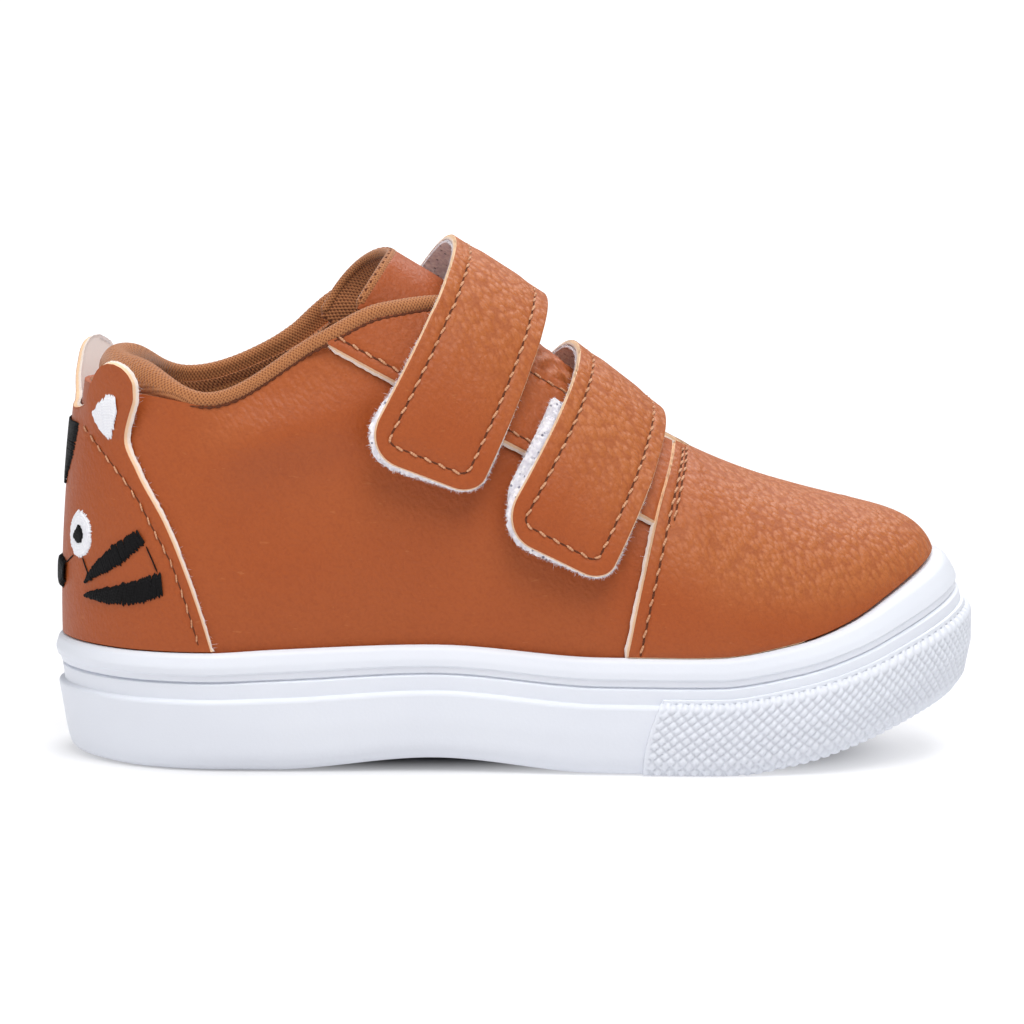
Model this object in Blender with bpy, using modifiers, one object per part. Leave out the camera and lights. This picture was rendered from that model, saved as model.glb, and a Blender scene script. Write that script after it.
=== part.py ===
"""A toddler's right sneaker: cup sole, leather upper, two hook-and-loop straps and an eared heel panel.

Frame: +X to the toe, +Y to the inner (medial) side, +Z up, with the origin on the floor under the
middle of the sole. The shape functions work in millimetres, and add_piece turns them into metres.

Two numbers place a point on the shoe's wall. "turn" runs round the plan outline: 0 at the back of
the heel, 1 at the toe by the outer (lateral) side, and 2 at the heel again by the inner side.
"rise" runs up the wall: -1 at the feather edge inside the sole, 0 at the sole's rim, and 1 at the
top line, where the wall ends in the collar, the throat or the ridge over the toes.
"""

import bmesh
import bpy
import numpy as np
from mathutils import Vector

MM = 0.001
MIDDLE = Vector((0.0, 0.0, 0.03))

# Driving dimensions, in millimetres
LENGTH = 161.5
GAP = 0.3
WALL = 1.6
OVERLAY = 1.2
CUP_DEPTH = 7.6
INSOLE_THICKNESS = 2.6
INSOLE_CLEAR = 0.8
TONGUE_THICKNESS = 3.4
STRAP_THICKNESS = 1.7
PAD_THICKNESS = 0.9
STRAP_WIDTH = 18.6

# The spine that the wall's sections face: straight, with a fan of sections at each end of it
HEEL_CENTRE = -56.0
TOE_POLE = 57.0
TOE_SWING = 3.0
TOE_SWING_START = 20.0

# Half widths of the sole in plan, before the round ends are taken off
PLAN_COLUMNS = ("x", "lateral", "medial")
PLAN = np.array([
    (-80.75, 25.2, 25.2),
    (-56.0, 25.6, 25.2),
    (-22.0, 26.8, 24.6),
    (10.0, 31.4, 28.6),
    (32.0, 33.9, 32.0),
    (55.0, 34.4, 32.9),
    (80.75, 34.2, 33.1),
])
HEEL_ROUND = 26.0
TOE_ROUND = 37.0

# Where the flanks give way to the heel and to the toe
HEEL_ZONE_START, HEEL_ZONE_FULL = -38.0, -72.0
TOE_ZONE_START, TOE_ZONE_FULL = 26.0, 74.0

# Heights along the sole's side: the tread's arch and toe spring, and the top edge of the cup
SOLE_COLUMNS = ("x", "tread", "rim")
SOLE = np.array([
    (-80.75, 1.0, 20.6),
    (-68.0, 0.0, 20.9),
    (-46.0, 0.0, 21.6),
    (-18.0, 2.2, 22.2),
    (10.0, 0.0, 20.1),
    (30.0, 0.0, 20.2),
    (44.5, 2.0, 22.8),
    (56.5, 4.9, 26.2),
    (67.0, 7.9, 30.4),
    (80.75, 11.5, 35.4),
])

# The cup's side from the floor up. height is a share of tread to rim; the others are how far the
# side stands outside the plan outline at the heel, along the flanks and at the toe.
SIDE_COLUMNS = ("height", "heel", "flank", "toe", "bumper")
SIDE = np.array([
    (0.00, -5.2, -3.6, -6.0, 0.0),
    (0.04, -3.6, -1.8, -4.0, 0.0),
    (0.12, -2.6, -0.6, -2.3, 1.0),
    (0.36, -1.6, 0.0, -1.1, 1.0),
    (0.600, -0.8, 0.0, -1.2, 1.0),
    (0.625, -1.0, -0.3, -1.5, 1.0),
    (0.645, -1.7, -1.1, -2.0, 0.0),
    (0.745, -1.3, -1.2, -2.8, 0.0),
    (0.760, -2.0, -1.9, -3.6, 0.0),
    (0.775, -1.0, -1.2, -3.1, 0.0),
    (0.880, -0.4, -1.2, -3.9, 0.0),
    (0.970, -0.6, -1.7, -5.2, 0.0),
    (1.000, -1.3, -2.5, -6.2, 0.0),
])
RIM_WIDTH = np.array([0.9, 1.2, 2.5])
RIM_DIP = 0.2

# The toe bumper: how far it is raised, and the x of its slanting rear edge at foot and top
BUMPER_RAISE = 0.7
BUMPER_EDGE_FOOT = 17.2
BUMPER_EDGE_TOP = 20.4
BUMPER_EDGE_STEP = 0.15
BUMPER_TOP = 0.6
BUMPER_CLEAR = 1.5

# The wall's sections, by the x of their foot. top is the height of the top line, medial how much
# higher it is on the inner side, and opening its distance from the spine. The leans are degrees
# from upright, outward at the foot and inward at the top. The fulls are the lengths of the
# section's end tangents as shares of its chord.
WALL_COLUMNS = ("x", "top", "medial", "opening", "lean_low", "lean_top", "full_low", "full_top")
WALLS = np.array([
    (-78.3, 64.4, 0.0, 20.3, 2.0, 6.0, 0.34, 0.34),
    (-68.0, 63.6, 0.0, 20.4, 3.0, 6.0, 0.34, 0.34),
    (-57.0, 62.4, -0.2, 20.4, 4.0, 6.0, 0.34, 0.34),
    (-38.0, 72.3, -3.6, 19.6, 3.0, 12.0, 0.36, 0.36),
    (-27.0, 77.0, -0.8, 17.4, 2.0, 24.0, 0.38, 0.34),
    (-17.0, 77.9, 0.0, 14.4, 2.0, 34.0, 0.40, 0.34),
    (-1.0, 67.6, 0.0, 12.6, 2.0, 44.0, 0.42, 0.36),
    (12.0, 60.2, 0.0, 11.4, 3.0, 50.0, 0.43, 0.38),
    (20.0, 55.8, 0.0, 9.6, 3.0, 58.0, 0.43, 0.40),
    (25.0, 53.2, 0.0, 6.4, 4.0, 72.0, 0.43, 0.42),
    (29.0, 51.2, 0.0, 0.0, 3.0, 90.0, 0.42, 0.44),
    (38.0, 47.7, 0.0, 0.0, 0.0, 90.0, 0.40, 0.44),
    (49.0, 44.4, 0.0, 0.0, -5.0, 90.0, 0.37, 0.43),
    (57.0, 42.4, 0.0, 0.0, -10.0, 90.0, 0.34, 0.42),
    (72.8, 42.4, 0.0, 0.0, -22.0, 76.0, 0.30, 0.42),
])

# The rear edge of the vamp panel seen from the side
VAMP_EDGE_COLUMNS = ("z", "x")
VAMP_EDGE = np.array([(19.0, 14.6), (33.0, 17.3), (44.0, 20.2), (52.0, 24.0), (55.0, 25.6)])

# How much more the vamp stands off at that edge, where it laps the facings, and where that starts
VAMP_LIFT = 0.35
VAMP_LIFT_START, VAMP_LIFT_FULL = 44.0, 26.0

# The lower edge of the eyestay seen from the side
EYESTAY_EDGE_COLUMNS = ("x", "z")
EYESTAY_EDGE = np.array([(-39.0, 73.8), (-22.0, 64.6), (-6.0, 56.0), (17.0, 43.6), (27.0, 38.0)])
EYESTAY_REAR = -38.2
EYESTAY_CLEAR = 0.0025
EYESTAY_LIFT = 0.1

# The heel panel, as degrees each side of the heel's back: its outer edge and the ears' inner edge.
# Its rows are heights, and the lowest follows the sole's rim.
COUNTER_ROWS = (0.0, 27.0, 33.0, 39.0, 45.0, 51.0, 56.0, 59.0, 61.0)
COUNTER_EDGE_COLUMNS = ("z", "outer")
COUNTER_EDGE = np.array([
    (20.0, 86.0),
    (30.0, 78.0),
    (42.0, 66.0),
    (51.0, 54.0),
    (56.0, 49.0),
    (59.0, 51.0),
    (61.0, 54.0),
])
EAR_COLUMNS = ("z", "inner", "outer")
EAR = np.array([
    (61.0, 24.0, 54.0),
    (63.2, 29.0, 56.5),
    (65.5, 31.0, 57.5),
    (68.0, 33.0, 56.0),
    (69.6, 37.0, 51.5),
    (70.3, 41.5, 47.0),
])

# The dip of the panel's top between the ears, and how the ears lean off the wall above their foot
EAR_DIP = 1.4
EAR_FLARE = 0.22
EAR_FLARE_FOOT = 56.0
EAR_FLARE_START, EAR_FLARE_FULL = 12.0, 30.0

# The tongue: its ridge from the free top to under the vamp, and the half length and radius of the
# arch across it
TONGUE_COLUMNS = ("x", "ridge", "half", "radius")
TONGUE = np.array([
    (-23.0, 87.4, 18.6, 12.6),
    (-8.0, 78.0, 18.8, 13.6),
    (7.0, 67.4, 17.6, 14.4),
    (26.0, 49.4, 13.5, 15.5),
    (33.0, 44.8, 11.0, 17.0),
])

# How far the tongue's free corners are set back, where that starts, and how softly it turns
TONGUE_SET_BACK_LATERAL = 1.8
TONGUE_SET_BACK_MEDIAL = 7.5
TONGUE_SET_BACK_START = 4.0
TONGUE_CORNER_SOFT = 0.25

# The straps: the crest's middle, the fall of the crest line, the run of the strap from upright, the
# arch over the instep as the half axes of a squared ellipse, how far the strap reaches down each
# side, how much wider it is at the free end, and the hook-and-loop pad under that end: where it
# starts and ends and what shows past the strap's rear edge
STRAP_COLUMNS = ("crest_x", "crest_z", "fall", "run", "half", "height", "lateral", "medial",
                 "spread", "pad_start", "pad_end", "pad_shows")
STRAPS = {
    "strap_upper": (-5.6, 83.2, 32.0, 25.0, 26.4, 46.0, 35.4, 27.0, 2.2, 16.0, 36.0, 0.7),
    "strap_lower": (15.6, 64.2, 37.0, 27.0, 28.0, 38.0, 30.3, 22.0, 1.8, 12.0, 26.0, 2.6),
}
STITCHED_STANDOFF = GAP + EYESTAY_LIFT + OVERLAY + GAP
PADDED_STANDOFF = STITCHED_STANDOFF + PAD_THICKNESS + GAP
STRAP_END_ROUND = 5.6
STRAP_SQUARE = 2.4

# Where a strap starts to follow the wall, where it does so fully, and how softly the two blend
HUG_START, HUG_FULL = 5.0, 12.0
HUG_SOFT = 1.0

# The collar's roll: its radius along the sides, at its front ends and behind the heel, where it
# ends in front, where each of the other radii takes over, and how it sits on the wall's edge
BINDING_RADIUS = 1.25
BINDING_FRONT_RADIUS = 1.65
BINDING_HEEL_RADIUS = 3.3
BINDING_FRONT = -15.5
BINDING_HEEL_START, BINDING_HEEL_FULL = -57.0, -74.0
BINDING_FRONT_START, BINDING_FRONT_FULL = -50.0, -22.0
BINDING_OVERHANG = 0.2
BINDING_LIFT = 0.35

# How finely the solids are faceted
SOLE_STATIONS = 34
WALL_STATIONS = 38
THROAT_STATIONS = (22.5, 25.5, 28.5)
WALL_RISES = 9


# Curves and tables


def monotone(at, knots, values):
    """A cubic through a table that never overshoots it, read at any place."""
    at = np.clip(np.asarray(at, float), knots[0], knots[-1])
    step = np.diff(knots)
    slope = np.diff(values) / step
    tangent = np.zeros(len(knots))
    tangent[0], tangent[-1] = slope[0], slope[-1]
    before, after = slope[:-1], slope[1:]
    weight_before = 2 * step[1:] + step[:-1]
    weight_after = step[1:] + 2 * step[:-1]
    same_way = before * after > 0
    safe_before = np.where(same_way, before, 1.0)
    safe_after = np.where(same_way, after, 1.0)
    mean = (weight_before + weight_after) / (weight_before / safe_before + weight_after / safe_after)
    tangent[1:-1] = np.where(same_way, mean, 0.0)
    i = np.clip(np.searchsorted(knots, at, side="right") - 1, 0, len(step) - 1)
    t = (at - knots[i]) / step[i]
    return (
        values[i] * (1 + 2 * t) * (1 - t) ** 2
        + tangent[i] * step[i] * t * (1 - t) ** 2
        + values[i + 1] * t * t * (3 - 2 * t)
        + tangent[i + 1] * step[i] * t * t * (t - 1)
    )


def read(table, columns, name, at):
    """A named column of a table, read at places along the table's first column."""
    return monotone(at, table[:, 0], table[:, columns.index(name)])


def unit(vectors):
    """Vectors brought to length one."""
    return vectors / np.linalg.norm(vectors, axis=-1, keepdims=True)


def ease(low, high, at):
    """0 below low, 1 above high, and a smooth step between."""
    t = np.clip((at - low) / (high - low), 0, 1)
    return t * t * (3 - 2 * t)


# The plan outline and the sole


def x_of_turn(turn):
    """The x of the plan outline at a turn."""
    return -LENGTH / 2 * np.cos(np.pi * turn)


def turn_of_x(x):
    """The turn on the lateral side where the outline has this x."""
    return np.arccos(np.clip(-2 * np.asarray(x, float) / LENGTH, -1, 1)) / np.pi


def centre_y(x):
    """The middle of the plan, which swings to the inner side at the toe."""
    return TOE_SWING * ease(TOE_SWING_START, LENGTH / 2, x)


def outline(turn):
    """The sole's plan outline, half widths from the table with an ellipse at each end."""
    turn = np.mod(turn, 2.0)
    x = x_of_turn(turn)
    heel = np.clip((HEEL_ROUND - LENGTH / 2 - x) / HEEL_ROUND, 0, 1)
    toe = np.clip((x - LENGTH / 2 + TOE_ROUND) / TOE_ROUND, 0, 1)
    ends = np.sqrt(np.maximum((1 - heel**2) * (1 - toe**2), 0))
    lateral = -read(PLAN, PLAN_COLUMNS, "lateral", x)
    medial = read(PLAN, PLAN_COLUMNS, "medial", x)
    y = centre_y(x) + np.where(turn <= 1, lateral, medial) * ends
    return np.stack([x, y], -1)


def plan(turn, outset):
    """The outline moved outwards along its normal."""
    turn = np.asarray(turn, float)
    small = 1e-3
    along = outline(turn + small) - outline(turn - small)
    along /= np.linalg.norm(along, axis=-1, keepdims=True)
    normal = np.stack([along[..., 1], -along[..., 0]], -1)
    return outline(turn) + normal * np.asarray(outset)[..., None]


def half_turns(count):
    """Turns from heel to toe, evenly spaced along the lateral outline."""
    fine = np.linspace(0, 1, 801)
    steps = np.linalg.norm(np.diff(outline(fine), axis=0), axis=1)
    length = np.concatenate([[0], np.cumsum(steps)])
    return np.interp(np.linspace(0, length[-1], count), length, fine)


def all_round(lateral):
    """The same turns carried on round the medial side."""
    return np.concatenate([lateral, 2 - lateral[-2:0:-1]])


def by_zone(x, heel, flank, toe):
    """A size that differs at the heel, along the flanks and at the toe."""
    at_heel = ease(HEEL_ZONE_START, HEEL_ZONE_FULL, x)
    at_toe = ease(TOE_ZONE_START, TOE_ZONE_FULL, x)
    return flank + (heel - flank) * at_heel + (toe - flank) * at_toe


def tread(x):
    """The height of the tread's edge: arch and toe spring."""
    return read(SOLE, SOLE_COLUMNS, "tread", x)


def rim(x):
    """The height of the cup's top edge."""
    return read(SOLE, SOLE_COLUMNS, "rim", x)


def cup_floor(x):
    """The height of the floor inside the cup."""
    return rim(x) - CUP_DEPTH


def rim_outset(x, inward=0.0):
    """Where the cup's inner wall stands, moved further in by some distance."""
    outer = SIDE[-1, 1:4]
    return by_zone(x, *(outer - RIM_WIDTH)) - inward


def feather(turn, inward=0.0):
    """The upper's lower edge in plan, which sits just inside the cup."""
    return plan(turn, rim_outset(x_of_turn(np.mod(turn, 2.0)), GAP + inward))


# The wall of the upper


def foot_x(turn):
    """The x of a section's foot, the same for the two sides so that they meet on the spine."""
    return (feather(turn)[..., 0] + feather(2 - turn)[..., 0]) / 2


def wall(turn, rise):
    """A point on the outer face of the upper: a cubic section in a plane that faces the spine."""
    turn, rise = np.broadcast_arrays(np.asarray(turn, float), np.asarray(rise, float))
    around = np.mod(turn, 2.0)
    x = x_of_turn(around)
    key = foot_x(turn)
    foot = feather(turn)
    spine_x = np.clip(key, HEEL_CENTRE, TOE_POLE)
    spine = np.stack([spine_x, centre_y(spine_x)], -1)
    inward = spine - foot
    reach = np.linalg.norm(inward, axis=-1)
    inward /= reach[..., None]
    column = {name: read(WALLS, WALL_COLUMNS, name, key) for name in WALL_COLUMNS[1:]}
    top = column["top"] + np.where(around > 1, column["medial"], 0.0)
    low = rim(x) + GAP
    inset = reach - np.minimum(column["opening"], reach)
    chord = np.hypot(inset, top - low)
    lean_low = np.radians(column["lean_low"])
    lean_top = np.radians(column["lean_top"])
    handle_low = column["full_low"] * chord
    handle_top = column["full_top"] * chord
    depth = (0.0, -np.sin(lean_low) * handle_low, inset - np.sin(lean_top) * handle_top, inset)
    height = (low, low + np.cos(lean_low) * handle_low, top - np.cos(lean_top) * handle_top, top)
    t = np.clip(rise, 0.0, 1.0)
    share = ((1 - t) ** 3, 3 * t * (1 - t) ** 2, 3 * t * t * (1 - t), t**3)
    past = np.maximum(rise - 1.0, 0.0) * chord
    sunk = np.minimum(rise, 0.0) * CUP_DEPTH
    deep = sum(s * d for s, d in zip(share, depth)) + past * np.sin(lean_top)
    z = sum(s * h for s, h in zip(share, height)) + past * np.cos(lean_top) + sunk
    return np.concatenate([foot + inward * deep[..., None], z[..., None]], -1)


def wall_normal(turn, rise):
    """The outward normal of the wall, taken just short of the ridge where sections meet."""
    small = 2e-3
    rise = np.where(np.asarray(rise) > 1.0, rise, np.clip(rise, small, 0.985))
    along = wall(turn + small, rise) - wall(turn - small, rise)
    up = wall(turn, rise + small) - wall(turn, rise - small)
    return unit(np.cross(along, up))


def off_wall(turn, rise, offset):
    """A point standing off the wall by some distance."""
    turn, rise = np.broadcast_arrays(np.asarray(turn, float), np.asarray(rise, float))
    return wall(turn, rise) + wall_normal(turn, rise) * np.asarray(offset)[..., None]


def rise_at_height(turn, z):
    """How far up the wall a height lies, by halving."""
    turn, z = np.broadcast_arrays(np.asarray(turn, float), np.asarray(z, float))
    low, high = np.zeros(turn.shape), np.full(turn.shape, 1.6)
    for _ in range(40):
        middle = (low + high) / 2
        below = wall(turn, middle)[..., 2] < z
        low, high = np.where(below, middle, low), np.where(below, high, middle)
    return (low + high) / 2


def side_turn(x, rise):
    """The turn on the lateral side where the wall, at this rise, has this x."""
    turn = turn_of_x(x)
    for _ in range(8):
        turn = turn_of_x(x_of_turn(turn) + x - wall(turn, rise)[..., 0])
    return turn


def side_y(x, z, medial, standoff):
    """How far out from the middle a skin over the wall stands at a place seen from the side."""
    x, z = np.broadcast_arrays(np.asarray(x, float), np.asarray(z, float))
    turn = side_turn(x, 0.5)
    turn = np.where(medial, 2 - turn, turn)
    rise = np.minimum(rise_at_height(turn, z), 1.0)
    slant = np.clip(np.abs(wall_normal(turn, rise)[..., 1]), 0.5, 1.0)
    return np.abs(wall(turn, rise)[..., 1]) + standoff / slant


# Meshes and materials


def new_collection(name):
    """A collection linked to the scene."""
    collection = bpy.data.collections.new(name)
    bpy.context.scene.collection.children.link(collection)
    return collection


def material(name, colour, roughness):
    """A plain finish of one colour."""
    made = bpy.data.materials.new(name)
    made.use_nodes = True
    shader = made.node_tree.nodes["Principled BSDF"]
    shader.inputs["Base Color"].default_value = (*colour, 1.0)
    shader.inputs["Roughness"].default_value = roughness
    shader.inputs["Metallic"].default_value = 0.0
    return made


def add_piece(name, points, faces, finish, collection, merge=0.0):
    """One object from points in millimetres, with its doubles merged and its faces made even."""
    mesh = bpy.data.meshes.new(name)
    mesh.from_pydata((np.asarray(points).reshape(-1, 3) * MM).tolist(), [], faces)
    shape = bmesh.new()
    shape.from_mesh(mesh)
    if merge:
        bmesh.ops.remove_doubles(shape, verts=shape.verts, dist=merge * MM)
        bmesh.ops.dissolve_degenerate(shape, edges=shape.edges, dist=merge * MM * 0.1)
    bmesh.ops.recalc_face_normals(shape, faces=shape.faces)
    shape.to_mesh(mesh)
    shape.free()
    mesh.shade_smooth()
    mesh.set_sharp_from_angle(angle=np.radians(35))
    piece = bpy.data.objects.new(name, mesh)
    piece.data.materials.append(finish)
    collection.objects.link(piece)
    return piece


def grid_faces(rows, columns, around=False):
    """Quads between the rows and columns of a grid of points."""
    last = columns if around else columns - 1
    return [
        (r * columns + c, r * columns + (c + 1) % columns,
         (r + 1) * columns + (c + 1) % columns, (r + 1) * columns + c)
        for r in range(rows - 1)
        for c in range(last)
    ]


def face_out(piece):
    """Turns an open sheet's faces to look away from the middle of the shoe."""
    face = max(piece.data.polygons, key=lambda f: f.area)
    if (face.center - MIDDLE).dot(face.normal) < 0:
        piece.data.flip_normals()


def thicken(piece, thickness, outward):
    """Gives an open sheet its thickness, on the side its faces look to or on the other."""
    solid = piece.modifiers.new("thickness", "SOLIDIFY")
    solid.thickness = thickness * MM
    solid.offset = 1.0 if outward else -1.0
    solid.use_even_offset = True
    return piece


# The pieces


def make_sole(finish, collection):
    """The moulded cup: rings up its side, over the rim, down the inner wall, and two ladders."""
    half = half_turns(SOLE_STATIONS)
    behind = half[x_of_turn(half) < BUMPER_EDGE_FOOT - BUMPER_CLEAR]
    ahead = half[x_of_turn(half) > BUMPER_EDGE_TOP + BUMPER_CLEAR]
    rings = []
    for height, heel, flank, toe, raised in SIDE:
        edge = BUMPER_EDGE_FOOT + (BUMPER_EDGE_TOP - BUMPER_EDGE_FOOT) * min(height / BUMPER_TOP, 1.0)
        step = turn_of_x(np.array([edge - BUMPER_EDGE_STEP, edge + BUMPER_EDGE_STEP]))
        lateral = np.concatenate([behind, step, ahead])
        turn = all_round(lateral)
        x = x_of_turn(turn)
        bumper = raised * BUMPER_RAISE * (x > edge)
        flat = plan(turn, by_zone(x, heel, flank, toe) + bumper)
        z = tread(x) + height * (rim(x) - tread(x))
        rings.append(np.column_stack([flat, z]))
    x = x_of_turn(turn)
    rings.append(np.column_stack([plan(turn, rim_outset(x)), rim(x) - RIM_DIP]))
    rings.append(np.column_stack([plan(turn, rim_outset(x)), cup_floor(x)]))
    columns = len(turn)
    faces = grid_faces(len(rings), columns, around=True)
    across = len(lateral)
    top = (len(rings) - 1) * columns
    for first in (0, top):
        for i in range(across - 1):
            there, back = first + i, first + (columns - i) % columns
            ladder = [there, there + 1, first + (columns - i - 1) % columns, back]
            faces.append(tuple(dict.fromkeys(ladder)))
    return add_piece("sole", np.concatenate(rings), faces, finish, collection)


def make_insole(finish, collection):
    """The footbed, on the cup's floor inside the upper's wall."""
    turn = all_round(half_turns(SOLE_STATIONS))
    x = x_of_turn(turn)
    edge = feather(turn, WALL + INSOLE_CLEAR)
    low = cup_floor(x) + GAP
    rings = np.concatenate([
        np.column_stack([edge, low]),
        np.column_stack([edge, low + INSOLE_THICKNESS]),
    ])
    columns = len(turn)
    faces = grid_faces(2, columns, around=True)
    for first in (0, columns):
        for i in range(SOLE_STATIONS - 1):
            ladder = [first + i, first + i + 1, first + (columns - i - 1) % columns,
                      first + (columns - i) % columns]
            faces.append(tuple(dict.fromkeys(ladder)))
    return add_piece("insole", rings, faces, finish, collection)


def make_upper(finish, collection):
    """The hollow wall, open below and at the collar and throat, closed along the ridge."""
    throat = turn_of_x(THROAT_STATIONS)
    turn = all_round(np.sort(np.concatenate([half_turns(WALL_STATIONS), throat])))
    rise = np.concatenate([[-1], np.linspace(0, 1, WALL_RISES)])
    points = wall(turn[None, :], rise[:, None])
    faces = grid_faces(len(rise), len(turn), around=True)
    piece = add_piece("upper", points, faces, finish, collection, merge=0.05)
    face_out(piece)
    return thicken(piece, WALL, outward=False)


def vamp_edge_turn(rise):
    """The turn of the vamp's rear edge at each rise, on the lateral side."""
    edge = np.full(np.shape(rise), VAMP_EDGE[1, 1])
    for _ in range(6):
        turn = side_turn(edge, rise)
        edge = read(VAMP_EDGE, VAMP_EDGE_COLUMNS, "x", wall(turn, rise)[..., 2])
    return turn


def make_vamp(finish, collection, columns=35, rows=10):
    """The toe panel, from the rim of the sole up to the ridge and back to its slanting rear edge."""
    rise = np.linspace(0, 1, rows)[:, None]
    turn = 1 + np.linspace(-1, 1, columns)[None, :] * (1 - vamp_edge_turn(rise))
    lift = VAMP_LIFT * ease(VAMP_LIFT_START, VAMP_LIFT_FULL, wall(turn, rise)[..., 0])
    points = off_wall(turn, rise, GAP + lift)
    piece = add_piece("vamp", points, grid_faces(rows, columns), finish, collection, merge=0.12)
    face_out(piece)
    return thicken(piece, OVERLAY, outward=True)


def make_eyestay(name, medial, finish, collection, columns=19, rows=5):
    """The facing along one side of the throat, from the collar to the vamp's rear edge."""
    along = np.linspace(0, 1, columns)[None, :]
    up = np.linspace(0, 1, rows)[:, None]
    rear = side_turn(EYESTAY_REAR, 0.9)
    rise = 0.5 + 0.5 * up + 0 * along
    for _ in range(6):
        front = vamp_edge_turn(rise[:, -1:]) - EYESTAY_CLEAR
        turn = rear + (front - rear) * along
        low_z = read(EYESTAY_EDGE, EYESTAY_EDGE_COLUMNS, "z", wall(turn, rise)[..., 0])
        low = np.minimum(rise_at_height(turn, low_z), 0.985)
        rise = low + (1 - low) * up
    turn = np.where(medial, 2 - turn, turn)
    points = off_wall(turn, rise, np.full(turn.shape, GAP + EYESTAY_LIFT))
    piece = add_piece(name, points, grid_faces(rows, columns), finish, collection)
    face_out(piece)
    return thicken(piece, OVERLAY, outward=True)


def heel_turn(degrees):
    """The turn at an angle round the heel's centre from the back, the lateral side positive."""
    turn = np.linspace(-0.6, 0.6, 601)
    foot = feather(turn)
    angle = np.degrees(np.arctan2(-foot[:, 1], HEEL_CENTRE - foot[:, 0]))
    return np.interp(degrees, angle, turn)


def make_counter(finish, collection, side_columns=7, middle_columns=8):
    """The heel panel: rows from the rim up, three groups of columns, and two ears on the outer ones."""
    body_z = np.array(COUNTER_ROWS)
    ear_z = EAR[1:, 0]
    ear_foot = EAR[0, 1]
    rows = []
    for z in np.concatenate([body_z, ear_z]):
        in_ear = z > body_z[-1]
        if in_ear:
            outer = read(EAR, EAR_COLUMNS, "outer", z)
            inner = read(EAR, EAR_COLUMNS, "inner", z)
        else:
            outer = read(COUNTER_EDGE, COUNTER_EDGE_COLUMNS, "outer", z)
            inner = ear_foot * outer / COUNTER_EDGE[-1, 1]
        ear = np.linspace(inner, outer, side_columns)
        middle = np.linspace(-inner, inner, middle_columns)[1:-1]
        angle = np.concatenate([-ear[::-1], middle, ear])
        turn = heel_turn(angle)
        height = np.maximum(z, rim(x_of_turn(np.mod(turn, 2.0))) + GAP)
        if z == body_z[-1]:
            height = height - EAR_DIP * np.maximum(1 - (angle / inner) ** 2, 0)
        rise = rise_at_height(turn, height)
        flare = EAR_FLARE * np.maximum(height - EAR_FLARE_FOOT, 0)
        flare = flare * ease(EAR_FLARE_START, EAR_FLARE_FULL, np.abs(angle))
        rows.append(off_wall(turn, rise, GAP + flare))
    columns = len(angle)
    middle_first, middle_last = side_columns - 1, side_columns + middle_columns - 3
    faces = [
        face for face in grid_faces(len(rows), columns)
        if face[0] // columns < len(body_z) - 1
        or not middle_first <= face[0] % columns <= middle_last
    ]
    used = sorted({corner for face in faces for corner in face})
    number = {old: new for new, old in enumerate(used)}
    points = np.concatenate(rows)[used]
    faces = [tuple(number[corner] for corner in face) for face in faces]
    piece = add_piece("counter", points, faces, finish, collection)
    face_out(piece)
    return thicken(piece, OVERLAY, outward=True)


def make_binding(finish, collection, count=46):
    """The padded knit roll that sits on the collar's edge, thicker behind the heel."""
    front = side_turn(BINDING_FRONT, 1.0)
    turn = np.linspace(-front, front, count)
    edge = wall(turn, np.ones(count))
    normal = wall_normal(turn, np.ones(count))
    at_heel = ease(BINDING_HEEL_START, BINDING_HEEL_FULL, edge[:, 0])
    at_front = ease(BINDING_FRONT_START, BINDING_FRONT_FULL, edge[:, 0])
    radius = (BINDING_RADIUS
              + (BINDING_HEEL_RADIUS - BINDING_RADIUS) * at_heel
              + (BINDING_FRONT_RADIUS - BINDING_RADIUS) * at_front)
    centre = edge - normal * np.maximum(radius - BINDING_OVERHANG, WALL / 2)[:, None]
    centre[:, 2] += radius + GAP + BINDING_LIFT
    curve = bpy.data.curves.new("collar_binding", "CURVE")
    curve.dimensions = "3D"
    curve.bevel_depth = BINDING_RADIUS * MM
    curve.bevel_resolution = 2
    curve.use_fill_caps = True
    spline = curve.splines.new("POLY")
    spline.points.add(count - 1)
    for point, place, size in zip(spline.points, centre * MM, radius / BINDING_RADIUS):
        point.co = (*place, 1.0)
        point.radius = size
    piece = bpy.data.objects.new("collar_binding", curve)
    curve.materials.append(finish)
    collection.objects.link(piece)
    return piece


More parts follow.
